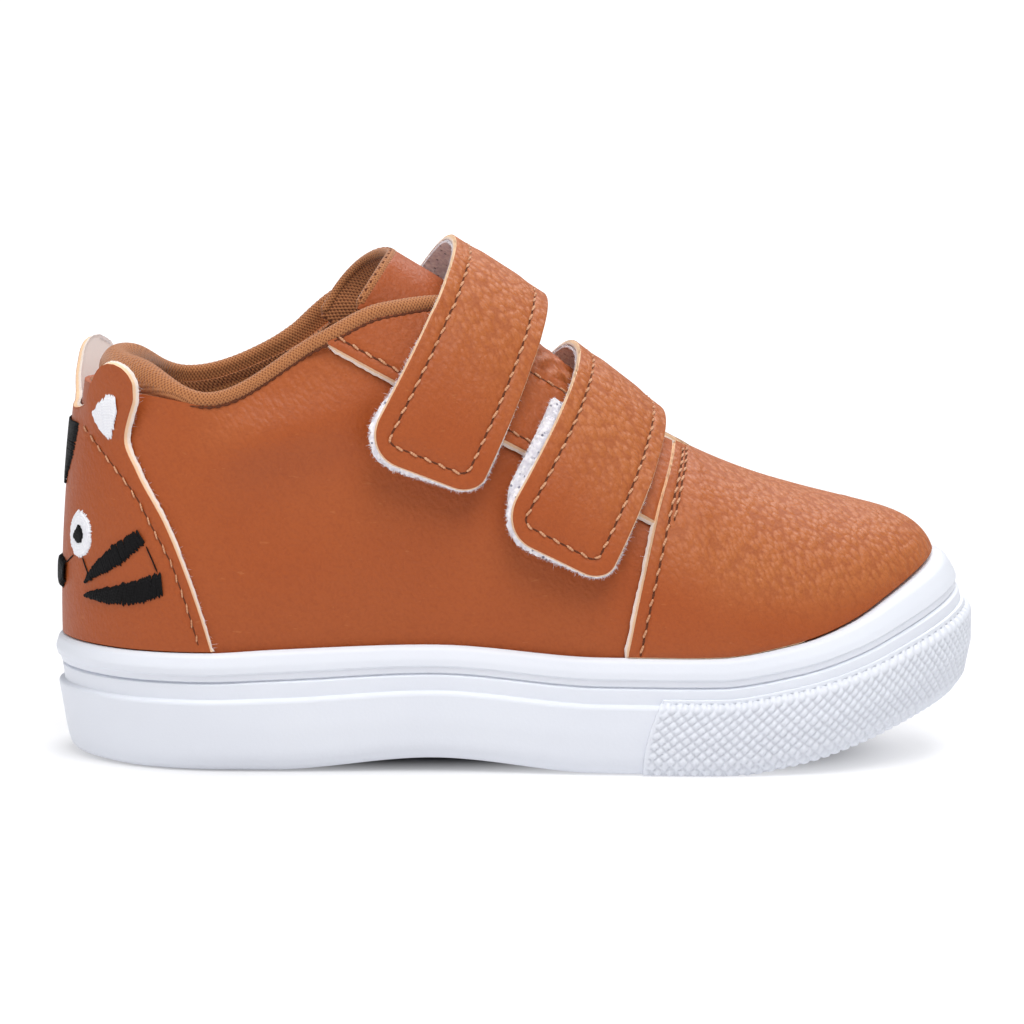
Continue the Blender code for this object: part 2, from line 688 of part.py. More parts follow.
def make_tongue(finish, collection, rows=13, columns=11):
    """The tongue's outer face: a ridge line carried across by an arch, its top corners set back."""
    ridge_x = np.linspace(TONGUE[0, 0], TONGUE[-1, 0], rows)[:, None]
    across = np.linspace(-1, 1, columns)[None, :]
    column = {name: read(TONGUE, TONGUE_COLUMNS, name, ridge_x) for name in TONGUE_COLUMNS[1:]}
    small = 0.5
    slope = (read(TONGUE, TONGUE_COLUMNS, "ridge", ridge_x + small)
             - read(TONGUE, TONGUE_COLUMNS, "ridge", ridge_x - small)) / (2 * small)
    fall = np.arctan(-slope)
    angle = column["half"] * across / column["radius"]
    drop = column["radius"] * (1 - np.cos(angle))
    corner = np.where(across < 0, TONGUE_SET_BACK_LATERAL, TONGUE_SET_BACK_MEDIAL)
    bow = np.hypot(np.sin(angle), TONGUE_CORNER_SOFT) - TONGUE_CORNER_SOFT
    bow = bow / (np.hypot(1.0, TONGUE_CORNER_SOFT) - TONGUE_CORNER_SOFT)
    back = corner * bow * ease(TONGUE_SET_BACK_START, TONGUE[0, 0], ridge_x)
    x = ridge_x - np.sin(fall) * drop - np.cos(fall) * back
    z = column["ridge"] - np.cos(fall) * drop + np.sin(fall) * back
    points = np.stack([x, column["radius"] * np.sin(angle) + centre_y(ridge_x), z], -1)
    piece = add_piece("tongue", points, grid_faces(rows, columns), finish, collection)
    face_out(piece)
    return thicken(piece, TONGUE_THICKNESS, outward=False)


def strap_sizes(name):
    """A strap's row of the table, by column name."""
    return dict(zip(STRAP_COLUMNS, STRAPS[name]))


def strap_under(name, across, down):
    """Points of a strap's underside. across is the place over its width, and down the distance from
    the crest, negative on the medial side. Each line is a squared ellipse over the instep that gives
    way to the wall with its standoff where the wall stands further out."""
    size = strap_sizes(name)
    across, down = np.broadcast_arrays(across, down)
    rearward = np.clip(0.5 - across / STRAP_WIDTH, 0, 1)
    across = across - size["spread"] * rearward * np.clip(down / size["lateral"], 0, 1)
    fall, run = np.radians(size["fall"]), np.radians(size["run"])
    deep = np.abs(down)
    x = size["crest_x"] + across * np.cos(fall) - deep * np.sin(run)
    z = size["crest_z"] - across * np.sin(fall) - deep * np.cos(run)
    share = np.clip(1 - deep / size["height"], 0, 1)
    arch = size["half"] * (1 - share**STRAP_SQUARE) ** (1 / STRAP_SQUARE)
    medial = down < 0
    body = side_y(x, z, medial, np.where(medial, STITCHED_STANDOFF, PADDED_STANDOFF))
    hug = HUG_SOFT * np.logaddexp(arch / HUG_SOFT, body / HUG_SOFT)
    out = arch + (hug - arch) * ease(HUG_START, HUG_FULL, deep)
    return np.stack([x, np.where(medial, out, -out), z], -1)


def strap_off(name, across, down, offset):
    """Points standing off a strap's underside, outwards or, for a minus offset, inwards."""
    small = 0.05
    over = strap_under(name, across + small, down) - strap_under(name, across - small, down)
    along = strap_under(name, across, down + small) - strap_under(name, across, down - small)
    return strap_under(name, across, down) + unit(np.cross(along, over)) * offset


def rounded_end(end, width, rows):
    """Distances and half widths of the last rows of a strip whose two corners are rounded."""
    angle = np.linspace(0, np.pi / 2, rows)[:, None]
    down = end - STRAP_END_ROUND * (1 - np.sin(angle))
    half = width / 2 - STRAP_END_ROUND * (1 - np.cos(angle))
    return down, half


def make_strap(name, finish, collection, rows=21, corner_rows=6, columns=7):
    """A strap from its stitched medial end over the instep to its rounded free end."""
    size = strap_sizes(name)
    corner_down, corner_half = rounded_end(size["lateral"], STRAP_WIDTH, corner_rows)
    root = np.linspace(-np.sqrt(size["medial"]), np.sqrt(corner_down[0, 0]), rows)[:-1, None]
    down = np.concatenate([np.sign(root) * root**2, corner_down])
    half = np.concatenate([np.full(root.shape, STRAP_WIDTH / 2), corner_half])
    points = strap_under(name, half * np.linspace(-1, 1, columns)[None, :], down)
    piece = add_piece(name, points, grid_faces(len(down), columns), finish, collection)
    face_out(piece)
    return thicken(piece, STRAP_THICKNESS, outward=True)


def make_pad(name, strap, finish, collection, rows=8, corner_rows=5, columns=7):
    """The hook-and-loop pad between a strap's free end and the quarter, showing past its edge."""
    size = strap_sizes(strap)
    corner_down, corner_half = rounded_end(size["pad_end"], STRAP_WIDTH, corner_rows)
    straight = np.linspace(size["pad_start"], corner_down[0, 0], rows)[:-1, None]
    down = np.concatenate([straight, corner_down])
    half = np.concatenate([np.full(straight.shape, STRAP_WIDTH / 2), corner_half])
    across = half * np.linspace(-1, 1, columns)[None, :] - size["pad_shows"]
    points = strap_off(strap, across, down + 0 * across, -GAP)
    piece = add_piece(name, points, grid_faces(len(down), columns), finish, collection)
    face_out(piece)
    return thicken(piece, PAD_THICKNESS, outward=False)


def main():
    """Clears the scene and builds every piece into one collection."""
    for old in list(bpy.data.objects):
        bpy.data.objects.remove(old)
    shoe = new_collection("toddler_sneaker")
    tan = material("tan_leather", (0.47, 0.13, 0.035), 0.45)
    knit = material("brown_knit", (0.33, 0.10, 0.025), 0.85)
    rubber = material("white_rubber", (0.82, 0.84, 0.88), 0.5)
    fleece = material("white_fleece", (0.78, 0.74, 0.74), 0.95)
    make_sole(rubber, shoe)
    make_insole(fleece, shoe)
    make_upper(tan, shoe)
    make_vamp(tan, shoe)
    make_eyestay("eyestay_lateral", False, tan, shoe)
    make_eyestay("eyestay_medial", True, tan, shoe)
    make_counter(tan, shoe)
    make_binding(knit, shoe)
    make_tongue(tan, shoe)
    for strap, pad in (("strap_upper", "pad_upper"), ("strap_lower", "pad_lower")):
        make_strap(strap, tan, shoe)
        make_pad(pad, strap, fleece, shoe)


main()
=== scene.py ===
"""The looks of a toddler's right sneaker: tan leather, knit collar, white cup sole and two straps.

Frame, as the solids have it: +X to the toe, +Y to the inner (medial) side, +Z up, origin on the floor.
Shapes are worked out in millimetres, and Shape.piece turns them into metres. Two numbers place a point
on the shoe's wall: "turn" runs round the plan outline, 0 at the heel's back, 1 at the toe by the outer
(lateral) side and 2 at the heel again, and "rise" runs up it, 0 at the sole's rim, 1 at the top line.
"""

import logging
from dataclasses import dataclass, field
from enum import Enum
from typing import Any

import bmesh
import bpy
import numpy as np
from mathutils import Matrix, Vector


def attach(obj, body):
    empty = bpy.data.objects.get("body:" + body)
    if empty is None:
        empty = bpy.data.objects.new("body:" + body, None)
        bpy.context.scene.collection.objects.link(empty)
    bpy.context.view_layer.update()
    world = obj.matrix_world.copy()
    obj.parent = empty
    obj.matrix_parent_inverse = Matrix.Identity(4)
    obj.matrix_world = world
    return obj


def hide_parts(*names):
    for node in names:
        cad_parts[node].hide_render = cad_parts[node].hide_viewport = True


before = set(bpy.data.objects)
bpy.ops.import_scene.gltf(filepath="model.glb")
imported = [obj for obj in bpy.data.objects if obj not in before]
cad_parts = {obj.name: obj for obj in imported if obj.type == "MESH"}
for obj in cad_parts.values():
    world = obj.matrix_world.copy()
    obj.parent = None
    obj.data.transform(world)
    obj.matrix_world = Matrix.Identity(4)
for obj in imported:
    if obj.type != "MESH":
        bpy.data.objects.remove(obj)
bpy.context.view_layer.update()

MM = 0.001
# In millimetres: the air between two layers, and how deep stitches and backings are seated
GAP = 0.3
SEAT = 0.02
Array = np.ndarray
Number = float | Array
Pair = tuple[float, float]
Triple = tuple[float, float, float]
Colour = Triple
# As from_edge takes it: how many places after a first share of the way, that share, and how many over it
Packing = tuple[int, float, int]
Material = bpy.types.Material
Socket = bpy.types.NodeSocket
LOG = logging.getLogger("sneaker")


class Slot(Enum):
    """Names of the material slots."""

    LEATHER = "tan_leather"
    KNIT = "brown_knit"
    RUBBER = "white_rubber"
    FLEECE = "white_fleece"


class Side(Enum):
    """The two sides of the shoe, by the sign of their y."""

    LATERAL = -1
    MEDIAL = 1


# Curves and tables


def monotone(at: Number, knots: Array, values: Array) -> Array:
    """A cubic through a table that never overshoots it: Hermite pieces with harmonic mean slopes.

    Args:
        at: Places to read at, clipped to the table.
        knots: Rising places of the table.
        values: Values at the knots.

    Returns:
        The curve's values, shaped as at.
    """
    at = np.clip(np.asarray(at, float), knots[0], knots[-1])
    step = np.diff(knots)
    slope = np.diff(values) / step
    tangent = np.zeros(len(knots))
    tangent[0], tangent[-1] = slope[0], slope[-1]
    before, after = slope[:-1], slope[1:]
    weight_before = 2 * step[1:] + step[:-1]
    weight_after = step[1:] + 2 * step[:-1]
    same_way = before * after > 0
    safe_before = np.where(same_way, before, 1.0)
    safe_after = np.where(same_way, after, 1.0)
    mean = (weight_before + weight_after) / (weight_before / safe_before + weight_after / safe_after)
    tangent[1:-1] = np.where(same_way, mean, 0.0)
    i = np.clip(np.searchsorted(knots, at, side="right") - 1, 0, len(step) - 1)
    t = (at - knots[i]) / step[i]
    return (
        values[i] * (1 + 2 * t) * (1 - t) ** 2
        + tangent[i] * step[i] * t * (1 - t) ** 2
        + values[i + 1] * t * t * (3 - 2 * t)
        + tangent[i + 1] * step[i] * t * t * (t - 1)
    )


@dataclass(frozen=True)
class Table:
    """Rows of named columns, read along the first column."""

    columns: tuple[str, ...]
    rows: tuple[tuple[float, ...], ...]

    def read(self, name: str, at: Number) -> Array:
        """A column's smooth curve at places along the first column."""
        table = np.array(self.rows)
        return monotone(at, table[:, 0], table[:, self.columns.index(name)])

    def lines(self, name: str, at: Number) -> Array:
        """A column read in straight lines between its rows."""
        table = np.array(self.rows)
        return np.interp(at, table[:, 0], table[:, self.columns.index(name)])


def unit(vectors: Array) -> Array:
    """Vectors brought to length one."""
    return vectors / np.maximum(np.linalg.norm(vectors, axis=-1, keepdims=True), 1e-12)


def ease(low: float, high: float, at: Number) -> Array:
    """0 below low, 1 above high, and a smooth step between."""
    t = np.clip((np.asarray(at) - low) / (high - low), 0, 1)
    return t * t * (3 - 2 * t)


def swell(at: Number, centre: float, width: float) -> Array:
    """A bell of height one round a centre."""
    return np.exp(-(((np.asarray(at) - centre) / width) ** 2))


def from_edge(count: int, share: float, dense: int) -> Array:
    """Places from 0 to 1, packed closer over a first share of the way."""
    return np.concatenate([np.linspace(0, share, dense)[:-1], np.linspace(share, 1, count)])


def both_edges(count: int, share: float, dense: int) -> Array:
    """Places from 0 to 1, packed closer next to both ends."""
    half = from_edge(count, share, dense) / 2
    return np.concatenate([half, 1 - half[-2::-1]])


def travelled(path: Array, axis: int = 0) -> Array:
    """The distance along rows of points from their start.

    Args:
        path: Points.
        axis: The axis on which they follow one another.

    Returns:
        The distances.
    """
    steps = np.linalg.norm(np.diff(path, axis=axis), axis=-1)
    start = np.zeros_like(np.take(steps, [0], axis=axis))
    return np.concatenate([start, np.cumsum(steps, axis=axis)], axis=axis)


def to_ends(run: Array) -> Array:
    """The distance to the nearer end, at distances along a path."""
    return np.minimum(run, run[-1] - run)


def along_path(at: Array, run: Array, values: Array) -> Array:
    """Rows of values that belong to distances along a path, read at other distances."""
    return np.stack([np.interp(at, run, column) for column in values.T], -1)


def flattened(points: Array) -> Array:
    """Flat places of a grid's points: the distances along its rows and down its columns."""
    return np.stack([travelled(points, axis=1), travelled(points, axis=0)], -1)


def dome(at: Array, power: int = 4) -> Array:
    """An arch of height one from -1 to 1, squarer for a higher power."""
    return np.sqrt(np.maximum(1 - at**power, 0))


def grain_and_highlight_by_slope(normal: Array, levels: Pair, slope: Pair) -> Array:
    """How deep the leather's pebbles are, and how much paler it is painted as a highlight: a plain level, and
    more where it faces up.
    """
    plain, on_top = levels
    return plain + on_top * ease(*slope, normal[..., 2])


def line_inside(points: Array, distance: float) -> Array:
    """The line at a distance from a grid's first row, found along each column.

    Args:
        points: A grid of points, or of anything whose first three columns are points.
        distance: How far from the first row, in millimetres.

    Returns:
        One row of the grid's width.
    """
    run = travelled(points[..., :3])
    row = np.clip((run < distance).sum(axis=0) - 1, 0, len(points) - 2)
    column = np.arange(points.shape[1])
    low, high = run[row, column], run[row + 1, column]
    share = ((distance - low) / np.maximum(high - low, 1e-9))[:, None]
    return points[row, column] + (points[row + 1, column] - points[row, column]) * share


def surface_normals(points: Array, middle: Triple) -> Array:
    """Normals of a grid from its two gradients, looking away from a middle point.

    Args:
        points: The grid.
        middle: A point on its inner side.

    Returns:
        A normal at each point.
    """
    face = unit(np.cross(np.gradient(points, axis=1), np.gradient(points, axis=0)))
    away = np.sum(face * (points - np.array(middle)))
    return face * np.sign(away)


# Meshes


def linked(name: str, data: bpy.types.ID) -> bpy.types.Object:
    """A new object in the scene.

    Args:
        name: The object's name.
        data: Its mesh, lamp or camera.

    Returns:
        The object.
    """
    made = bpy.data.objects.new(name, data)
    bpy.context.scene.collection.objects.link(made)
    return made


def grid_faces(rows: int, columns: int, around: bool = False) -> Array:
    """Quads between the rows and columns of a grid, closed round its columns where asked.

    Args:
        rows: How many rows.
        columns: How many columns.
        around: Whether the last column joins the first.

    Returns:
        Each quad's four corners.
    """
    index = np.arange(rows * columns).reshape(rows, columns)
    if around:
        index = np.concatenate([index, index[:, :1]], axis=1)
    corners = (index[:-1, :-1], index[:-1, 1:], index[1:, 1:], index[1:, :-1])
    return np.stack(corners, -1).reshape(-1, 4)


@dataclass
class Shape:
    """A mesh in the making: points, quads, numbers at the points and a chart at the corners.

    A triangle is a quad that repeats a corner.
    """

    points: Array
    faces: Array
    numbers: dict[str, Array] = field(default_factory=dict)
    chart: Array | None = None

    @classmethod
    def grid(cls, points: Array, chart: Array | None = None, **numbers: Number) -> "Shape":
        """A shape from a grid of points.

        Args:
            points: Rows and columns of points.
            chart: The flat place of each point, in millimetres, where a pattern follows the surface.
            **numbers: Values at the points.

        Returns:
            The shape.
        """
        rows, columns = points.shape[:2]
        faces = grid_faces(rows, columns)
        flat = {name: np.broadcast_to(value, (rows, columns)).ravel() for name, value in numbers.items()}
        corners = None if chart is None else chart.reshape(-1, 2)[faces]
        return cls(points.reshape(-1, 3), faces, flat, corners)

    @classmethod
    def join(cls, *shapes: "Shape") -> "Shape":
        """Several shapes without charts as one, with the numbers that the first one has.

        Args:
            *shapes: The shapes.

        Returns:
            One shape.
        """
        starts = np.cumsum([0] + [len(shape.points) for shape in shapes[:-1]])
        names = shapes[0].numbers
        return cls(
            np.concatenate([shape.points for shape in shapes]),
            np.concatenate([shape.faces + start for shape, start in zip(shapes, starts)]),
            {name: np.concatenate([shape.numbers[name] for shape in shapes]) for name in names},
        )

    def weld(self, tolerance: float = 0.004) -> tuple["Shape", Array]:
        """Merges points that fall together, and drops the faces that this closes up.

        Args:
            tolerance: The size of the cells in which points are one, in millimetres.

        Returns:
            The welded shape, and which of the old points each new one was.
        """
        key = np.round(self.points / tolerance + 0.3137).astype(np.int64)
        _, first, place = np.unique(key, axis=0, return_index=True, return_inverse=True)
        faces = place.reshape(-1)[self.faces]
        corners = (np.diff(np.sort(faces, axis=1), axis=1) > 0).sum(axis=1) + 1
        crossed = (faces[:, 0] == faces[:, 2]) | (faces[:, 1] == faces[:, 3])
        keep = (corners >= 3) & ~crossed
        numbers = {name: value[first] for name, value in self.numbers.items()}
        chart = None if self.chart is None else self.chart[keep]
        return Shape(self.points[first], faces[keep], numbers, chart), first

    def piece(self, name: str, finish: Material, slot: Slot, *nodes: str,
              sharp: float = 50.0) -> bpy.types.Object:
        """Makes the shape an object of the shoe.

        Args:
            name: The object's name.
            finish: Its material.
            slot: The finish's material slot; not used.
            *nodes: The solids that it stands for.
            sharp: Edges that turn more than this many degrees stay sharp.

        Returns:
            The object.
        """
        repeated = self.faces == np.roll(self.faces, -1, axis=1)
        kept = np.ones(self.faces.shape, bool)
        kept[np.arange(len(kept)), repeated.argmax(axis=1)] = ~repeated.any(axis=1)
        corners = self.faces[kept]
        starts = np.concatenate([[0], np.cumsum(kept.sum(axis=1))[:-1]])
        mesh = bpy.data.meshes.new(name)
        mesh.vertices.add(len(self.points))
        mesh.vertices.foreach_set("co", (self.points * MM).ravel())
        mesh.loops.add(len(corners))
        mesh.loops.foreach_set("vertex_index", corners)
        mesh.polygons.add(len(starts))
        mesh.polygons.foreach_set("loop_start", starts)
        mesh.update(calc_edges=True)
        for number, value in self.numbers.items():
            mesh.attributes.new(number, "FLOAT", "POINT").data.foreach_set("value", value.astype(np.float32))
        if self.chart is not None:
            mesh.uv_layers.new(name="chart").data.foreach_set("uv", self.chart[kept].ravel())
        work = bmesh.new()
        work.from_mesh(mesh)
        bmesh.ops.recalc_face_normals(work, faces=work.faces)
        work.to_mesh(mesh)
        work.free()
        mesh.shade_smooth()
        mesh.set_sharp_from_angle(angle=np.radians(sharp))
        mesh.materials.append(finish)
        made = linked(name, mesh)
        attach(made, "root")
        if nodes:
            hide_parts(*nodes)
        LOG.info("%s: %d faces", name, len(mesh.polygons))
        return made


@dataclass(frozen=True)
class Edge:
    """A cut edge's steps: how far out, how high as a share of the thickness, and how far round."""

    out: tuple[float, ...]
    up: tuple[float, ...]
    rim: tuple[float, ...]
    ragged: float = 0.0


RAW_EDGE = Edge(
    (0.05, 0.1, 0.26, 0.46, 0.72, 0.84),
    (0.97, 0.9, 0.66, 0.4, 0.14, 0.0),
    (0.1, 0.2, 0.4, 0.6, 0.9, 1.0),
    ragged=0.12,
)
CLEAN_EDGE = Edge((0.1, 0.2, 0.3, 0.36, 0.3), (0.95, 0.84, 0.55, 0.25, 0.0), (0.1, 0.24, 0.45, 0.6, 0.64))
ROLLED_EDGE = Edge((0.16, 0.3, 0.38, 0.3, 0.16), (0.94, 0.78, 0.5, 0.22, 0.0), (0.0, 0.0, 0.0, 0.0, 0.0))
FELT_EDGE = Edge(
    (0.2, 0.36, 0.42, 0.36, 0.2), (0.9, 0.72, 0.5, 0.28, 0.0), (0.2, 0.4, 0.6, 0.8, 1.0), ragged=0.25
)
THIN_EDGE = Edge((0.02, 0.04, 0.02), (0.9, 0.5, 0.0), (0.0, 0.0, 0.0))
MOULDED_EDGE = Edge((0.04, 0.1, 0.14, 0.14), (0.94, 0.75, 0.3, 0.0), (0.0, 0.0, 0.0, 0.0))


def panel(
    base: Array, normal: Array, thickness: float, edge: Edge, relief: Number = 0.0, spread: Number = 1.0,
    cut: Array | None = None, chart: Array | None = None, **numbers: Number,
) -> Shape:
    """A closed sheet of leather, cloth or rubber on a grid of points.

    Its top is the grid moved along its normals by the thickness and the relief. A skirt runs from the
    top's outline down the edge's steps, along the direction that is square to outline and normal, and
    the grid itself closes it below.

    Args:
        base: The grid under the sheet.
        normal: The grid's normals.
        thickness: The sheet's thickness.
        edge: The shape of its cut edge.
        relief: What the top stands above the thickness.
        spread: A factor on how far out the edge goes, at each point.
        cut: Which quads to leave out, as a flat mask, where there is no chart.
        chart: Flat places for a pattern.
        **numbers: Values at the points. "rim" is added: 0 on top and 1 at the foot of the edge.

    Returns:
        The closed shape.
    """
    size = base.shape[:2]
    loose = Shape.grid(base, chart, **numbers)
    if cut is not None:
        loose.faces = loose.faces[~cut]
    sheet, first = loose.weld()
    used = np.unique(sheet.faces)
    number = np.zeros(len(sheet.points), int)
    number[used] = np.arange(len(used))
    faces, first = number[sheet.faces], first[used]
    low, away = sheet.points[used], normal.reshape(-1, 3)[first]
    high = thickness + np.broadcast_to(relief, size).reshape(-1)[first]
    wide = np.broadcast_to(spread, size).reshape(-1)[first]
    across = np.cross(low[faces[:, 2]] - low[faces[:, 0]], low[faces[:, 3]] - low[faces[:, 1]])
    chart = sheet.chart
    if np.sum(across * away[faces[:, 0]]) < 0:
        faces = faces[:, ::-1]
        chart = None if chart is None else chart[:, ::-1]
    pairs = np.stack([faces, np.roll(faces, -1, axis=1)], -1).reshape(-1, 2)
    pairs = pairs[pairs[:, 0] != pairs[:, 1]]
    _, where, count = np.unique(np.sort(pairs, axis=1), axis=0, return_index=True, return_counts=True)
    outline = pairs[where[count == 1]]
    along = unit(low[outline[:, 1]] - low[outline[:, 0]])
    out = np.zeros_like(low)
    np.add.at(out, outline[:, 0], np.cross(along, away[outline[:, 0]]))
    np.add.at(out, outline[:, 1], np.cross(along, away[outline[:, 1]]))
    ring = np.unique(outline)
    place = np.zeros(len(low), int)
    place[ring] = np.arange(len(ring))
    out = unit(out[ring])
    torn = wide[ring] * (1 + edge.ragged * np.random.default_rng(len(ring)).uniform(-1, 1, len(ring)))
    steps = [
        low[ring] + out * (reach * torn)[:, None] + away[ring] * (thickness * share)
        for reach, share in zip(edge.out, edge.up)
    ]
    below = low.copy()
    below[ring] = steps[-1]
    points = np.concatenate([low + away * high[:, None], *steps[:-1], below])
    count, rings = len(low), len(steps) - 1
    levels = [outline] + [count + k * len(ring) + place[outline] for k in range(rings)]
    levels.append(count + rings * len(ring) + outline)
    skirt = [
        np.stack([upper[:, 1], upper[:, 0], lower[:, 0], lower[:, 1]], -1)
        for upper, lower in zip(levels, levels[1:])
    ]
    under = faces[:, ::-1] + count + rings * len(ring)
    carried = {
        name: np.concatenate([value[used], *[value[used][ring]] * rings, value[used]])
        for name, value in sheet.numbers.items()
    }
    raw = np.minimum(wide / 0.3, 1.0)
    round_edge = [value * raw[ring] for value in edge.rim[:-1]]
    carried["rim"] = np.concatenate([np.zeros(count), *round_edge, edge.rim[-1] * raw])
    all_faces = np.concatenate([faces, *skirt, under])
    if chart is not None:
        flat = np.zeros((count, 2))
        flat[faces.ravel()] = chart.reshape(-1, 2)
        side = flat[outline[:, [1, 0, 0, 1]]]
        chart = np.concatenate([chart, *[side] * len(skirt), chart[:, ::-1]])
    return Shape(points, all_faces, carried, chart)


def tube(centre: Array, out: Array, across: Array, above: Array) -> Shape:
    """A profile carried along a path, with a chart of the distances along it and round it.

    Args:
        centre: Points along the path.
        out: The direction that across is measured in, at each point.
        across: Each ring's profile along out.
        above: Each ring's profile square to out and to the path.

    Returns:
        The shape, closed where its ends have no size.
    """
    along = unit(np.gradient(centre, axis=0))
    out = unit(out - along * np.sum(out * along, axis=1, keepdims=True))
    up = np.cross(out, along)
    points = centre[:, None] + out[:, None] * across[..., None] + up[:, None] * above[..., None]
    chart = np.stack([travelled(centre)[:, None] + 0 * across, travelled(points, axis=1)], -1)
    return Shape.grid(points, chart).weld(0.002)[0]


def strands(path: Array, lift: Array, wide: Number, high: Number, sides: int = 6) -> Shape:
    """Many strands at once: a flattened round profile carried along each path.

    Args:
        path: Points of each strand, as strands by steps.
        lift: The direction that is up at each step.
        wide: Half the width at each step.
        high: Half the height at each step.
        sides: Corners of the profile.

    Returns:
        The strands as one shape, closed where their ends have no width.
    """
    count, steps = path.shape[:2]
    along = unit(np.gradient(path, axis=1))
    aside = unit(np.cross(along, lift))
    over = np.cross(aside, along)
    angle = np.arange(sides) * 2 * np.pi / sides
    wide = np.broadcast_to(wide, (count, steps))[..., None, None]
    high = np.broadcast_to(high, (count, steps))[..., None, None]
    points = path[:, :, None] + aside[:, :, None] * wide * np.cos(angle)[:, None]
    points = points + over[:, :, None] * high * np.sin(angle)[:, None]
    one = grid_faces(steps, sides, around=True)
    faces = (one[None] + (np.arange(count) * steps * sides)[:, None, None]).reshape(-1, 4)
    run = np.repeat(travelled(path, axis=1).reshape(-1), sides)
    tone = np.repeat(np.linspace(0, 1, count), steps * sides)
    shape, _ = Shape(points.reshape(-1, 3), faces, {"run": run, "tone": tone}).weld(1e-4)
    return shape


# Materials


class Value:
    """A number in a material, so that shader maths reads as Python."""

    def __init__(self, graph: "Graph", socket: Socket) -> None:
        """Wraps a socket of a graph."""
        self.graph = graph
        self.socket = socket

    def math(self, operation: str, *others: "Value | float") -> "Value":
        """A Math node on this number and others."""
        return self.graph.math(operation, self, *others)

    def __add__(self, other: "Value | float") -> "Value":
        """The sum."""
        return self.math("ADD", other)

    __radd__ = __add__

    def __mul__(self, other: "Value | float") -> "Value":
        """The product."""
        return self.math("MULTIPLY", other)

    __rmul__ = __mul__

    def __sub__(self, other: "Value | float") -> "Value":
        """This less the other."""
        return self.math("SUBTRACT", other)

    def __rsub__(self, other: float) -> "Value":
        """The other less this."""
        return self.graph.math("SUBTRACT", other, self)

    def wave(self, pitch: float) -> "Value":
        """A cosine of this number with a pitch, from 0 to 1."""
        return (self * (2 * np.pi / pitch)).math("COSINE") * 0.5 + 0.5

    def step(self, low: float, high: float) -> "Value":
        """0 below low, 1 above high and a smooth step between."""
        smooth, span = {"interpolation_type": "SMOOTHSTEP"}, {"From Min": low, "From Max": high}
        return self.graph.value("ShaderNodeMapRange", "Result", smooth, Value=self, **span)


class Graph:
    """A material's nodes, made by name and joined by expression."""

    def __init__(self, name: str) -> None:
        """Starts a material with its shader.

        Args:
            name: The material's name.
        """
        self.material = bpy.data.materials.new(name)
        self.material.use_nodes = True
        self.tree = self.material.node_tree
        self.shader = self.tree.nodes["Principled BSDF"]

    def put(self, socket: Socket, value: Any) -> None:
        """Gives a socket a link, a number, or a colour or vector."""
        if isinstance(value, Value):
            self.tree.links.new(value.socket, socket)
        elif isinstance(value, Socket):
            self.tree.links.new(value, socket)
        elif isinstance(value, tuple) and len(socket.default_value) == 4:
            socket.default_value = (*value, 1.0)
        else:
            socket.default_value = value

    def node(self, kind: str, settings: dict[str, Any], inputs: dict[str | int, Any]) -> bpy.types.Node:
        """Adds a node.

        Args:
            kind: The node's type.
            settings: Its own settings, set first.
            inputs: Values or links for its sockets, by name or place.

        Returns:
            The node.
        """
        made = self.tree.nodes.new(kind)
        for name, value in settings.items():
            setattr(made, name, value)
        for name, value in inputs.items():
            self.put(made.inputs[name], value)
        return made

    def value(self, kind: str, output: str, settings: dict[str, Any], **inputs: Any) -> Value:
        """One output of a new node, as a number."""
        return Value(self, self.node(kind, settings, inputs).outputs[output])

    def math(self, operation: str, *values: "Value | float") -> Value:
        """A Math node."""
        made = self.node("ShaderNodeMath", {"operation": operation}, dict(enumerate(values)))
        return Value(self, made.outputs[0])

    def split(self, vector: Socket) -> tuple[Value, Value, Value]:
        """The three numbers of a vector."""
        made = self.node("ShaderNodeSeparateXYZ", {}, {"Vector": vector})
        return tuple(Value(self, made.outputs[axis]) for axis in "XYZ")

    def place(self, scale: Triple = (1.0, 1.0, 1.0)) -> Socket:
        """Object coordinates, stretched.

        Args:
            scale: The stretch along each axis.

        Returns:
            The coordinates.
        """
        where = self.node("ShaderNodeTexCoord", {}, {})
        made = self.node("ShaderNodeMapping", {}, {"Vector": where.outputs["Object"], "Scale": scale})
        return made.outputs["Vector"]

    def chart(self) -> tuple[Value, Value]:
        """The piece's own flat places, in millimetres."""
        where = self.node("ShaderNodeUVMap", {"uv_map": "chart"}, {})
        return self.split(where.outputs["UV"])[:2]

    def number(self, name: str) -> Value:
        """A number that the mesh's points carry."""
        return self.value("ShaderNodeAttribute", "Fac", {"attribute_name": name})

    def noise(self, where: Socket, scale: float, detail: float = 2.0) -> Value:
        """Soft noise from about 0 to 1."""
        return self.value("ShaderNodeTexNoise", "Fac", {}, Vector=where, Scale=scale, Detail=detail)

    def cells(self, where: Socket, scale: float, **more: float) -> Value:
        """The distance to the nearest of scattered points, with Smoothness rounded where two are as near."""
        kind = {"feature": "SMOOTH_F1" if more else "F1"}
        return self.value("ShaderNodeTexVoronoi", "Distance", kind, Vector=where, Scale=scale, **more)

    def mix(self, share: Value, first: Any, second: Any) -> Socket:
        """A colour between two colours."""
        made = self.node("ShaderNodeMix", {"data_type": "RGBA"}, {0: share, 6: first, 7: second})
        return made.outputs[2]

    def bump(self, height: Value) -> Socket:
        """A normal from a height in millimetres."""
        made = self.node("ShaderNodeBump", {}, {"Height": height, "Distance": MM, "Strength": 1.0})
        return made.outputs["Normal"]

    def done(self, **sockets: Any) -> Material:
        """Sets the shader's sockets, with underscores for the spaces in their names."""
        for name, value in sockets.items():
            self.put(self.shader.inputs[name.replace("_", " ")], value)
        return self.material


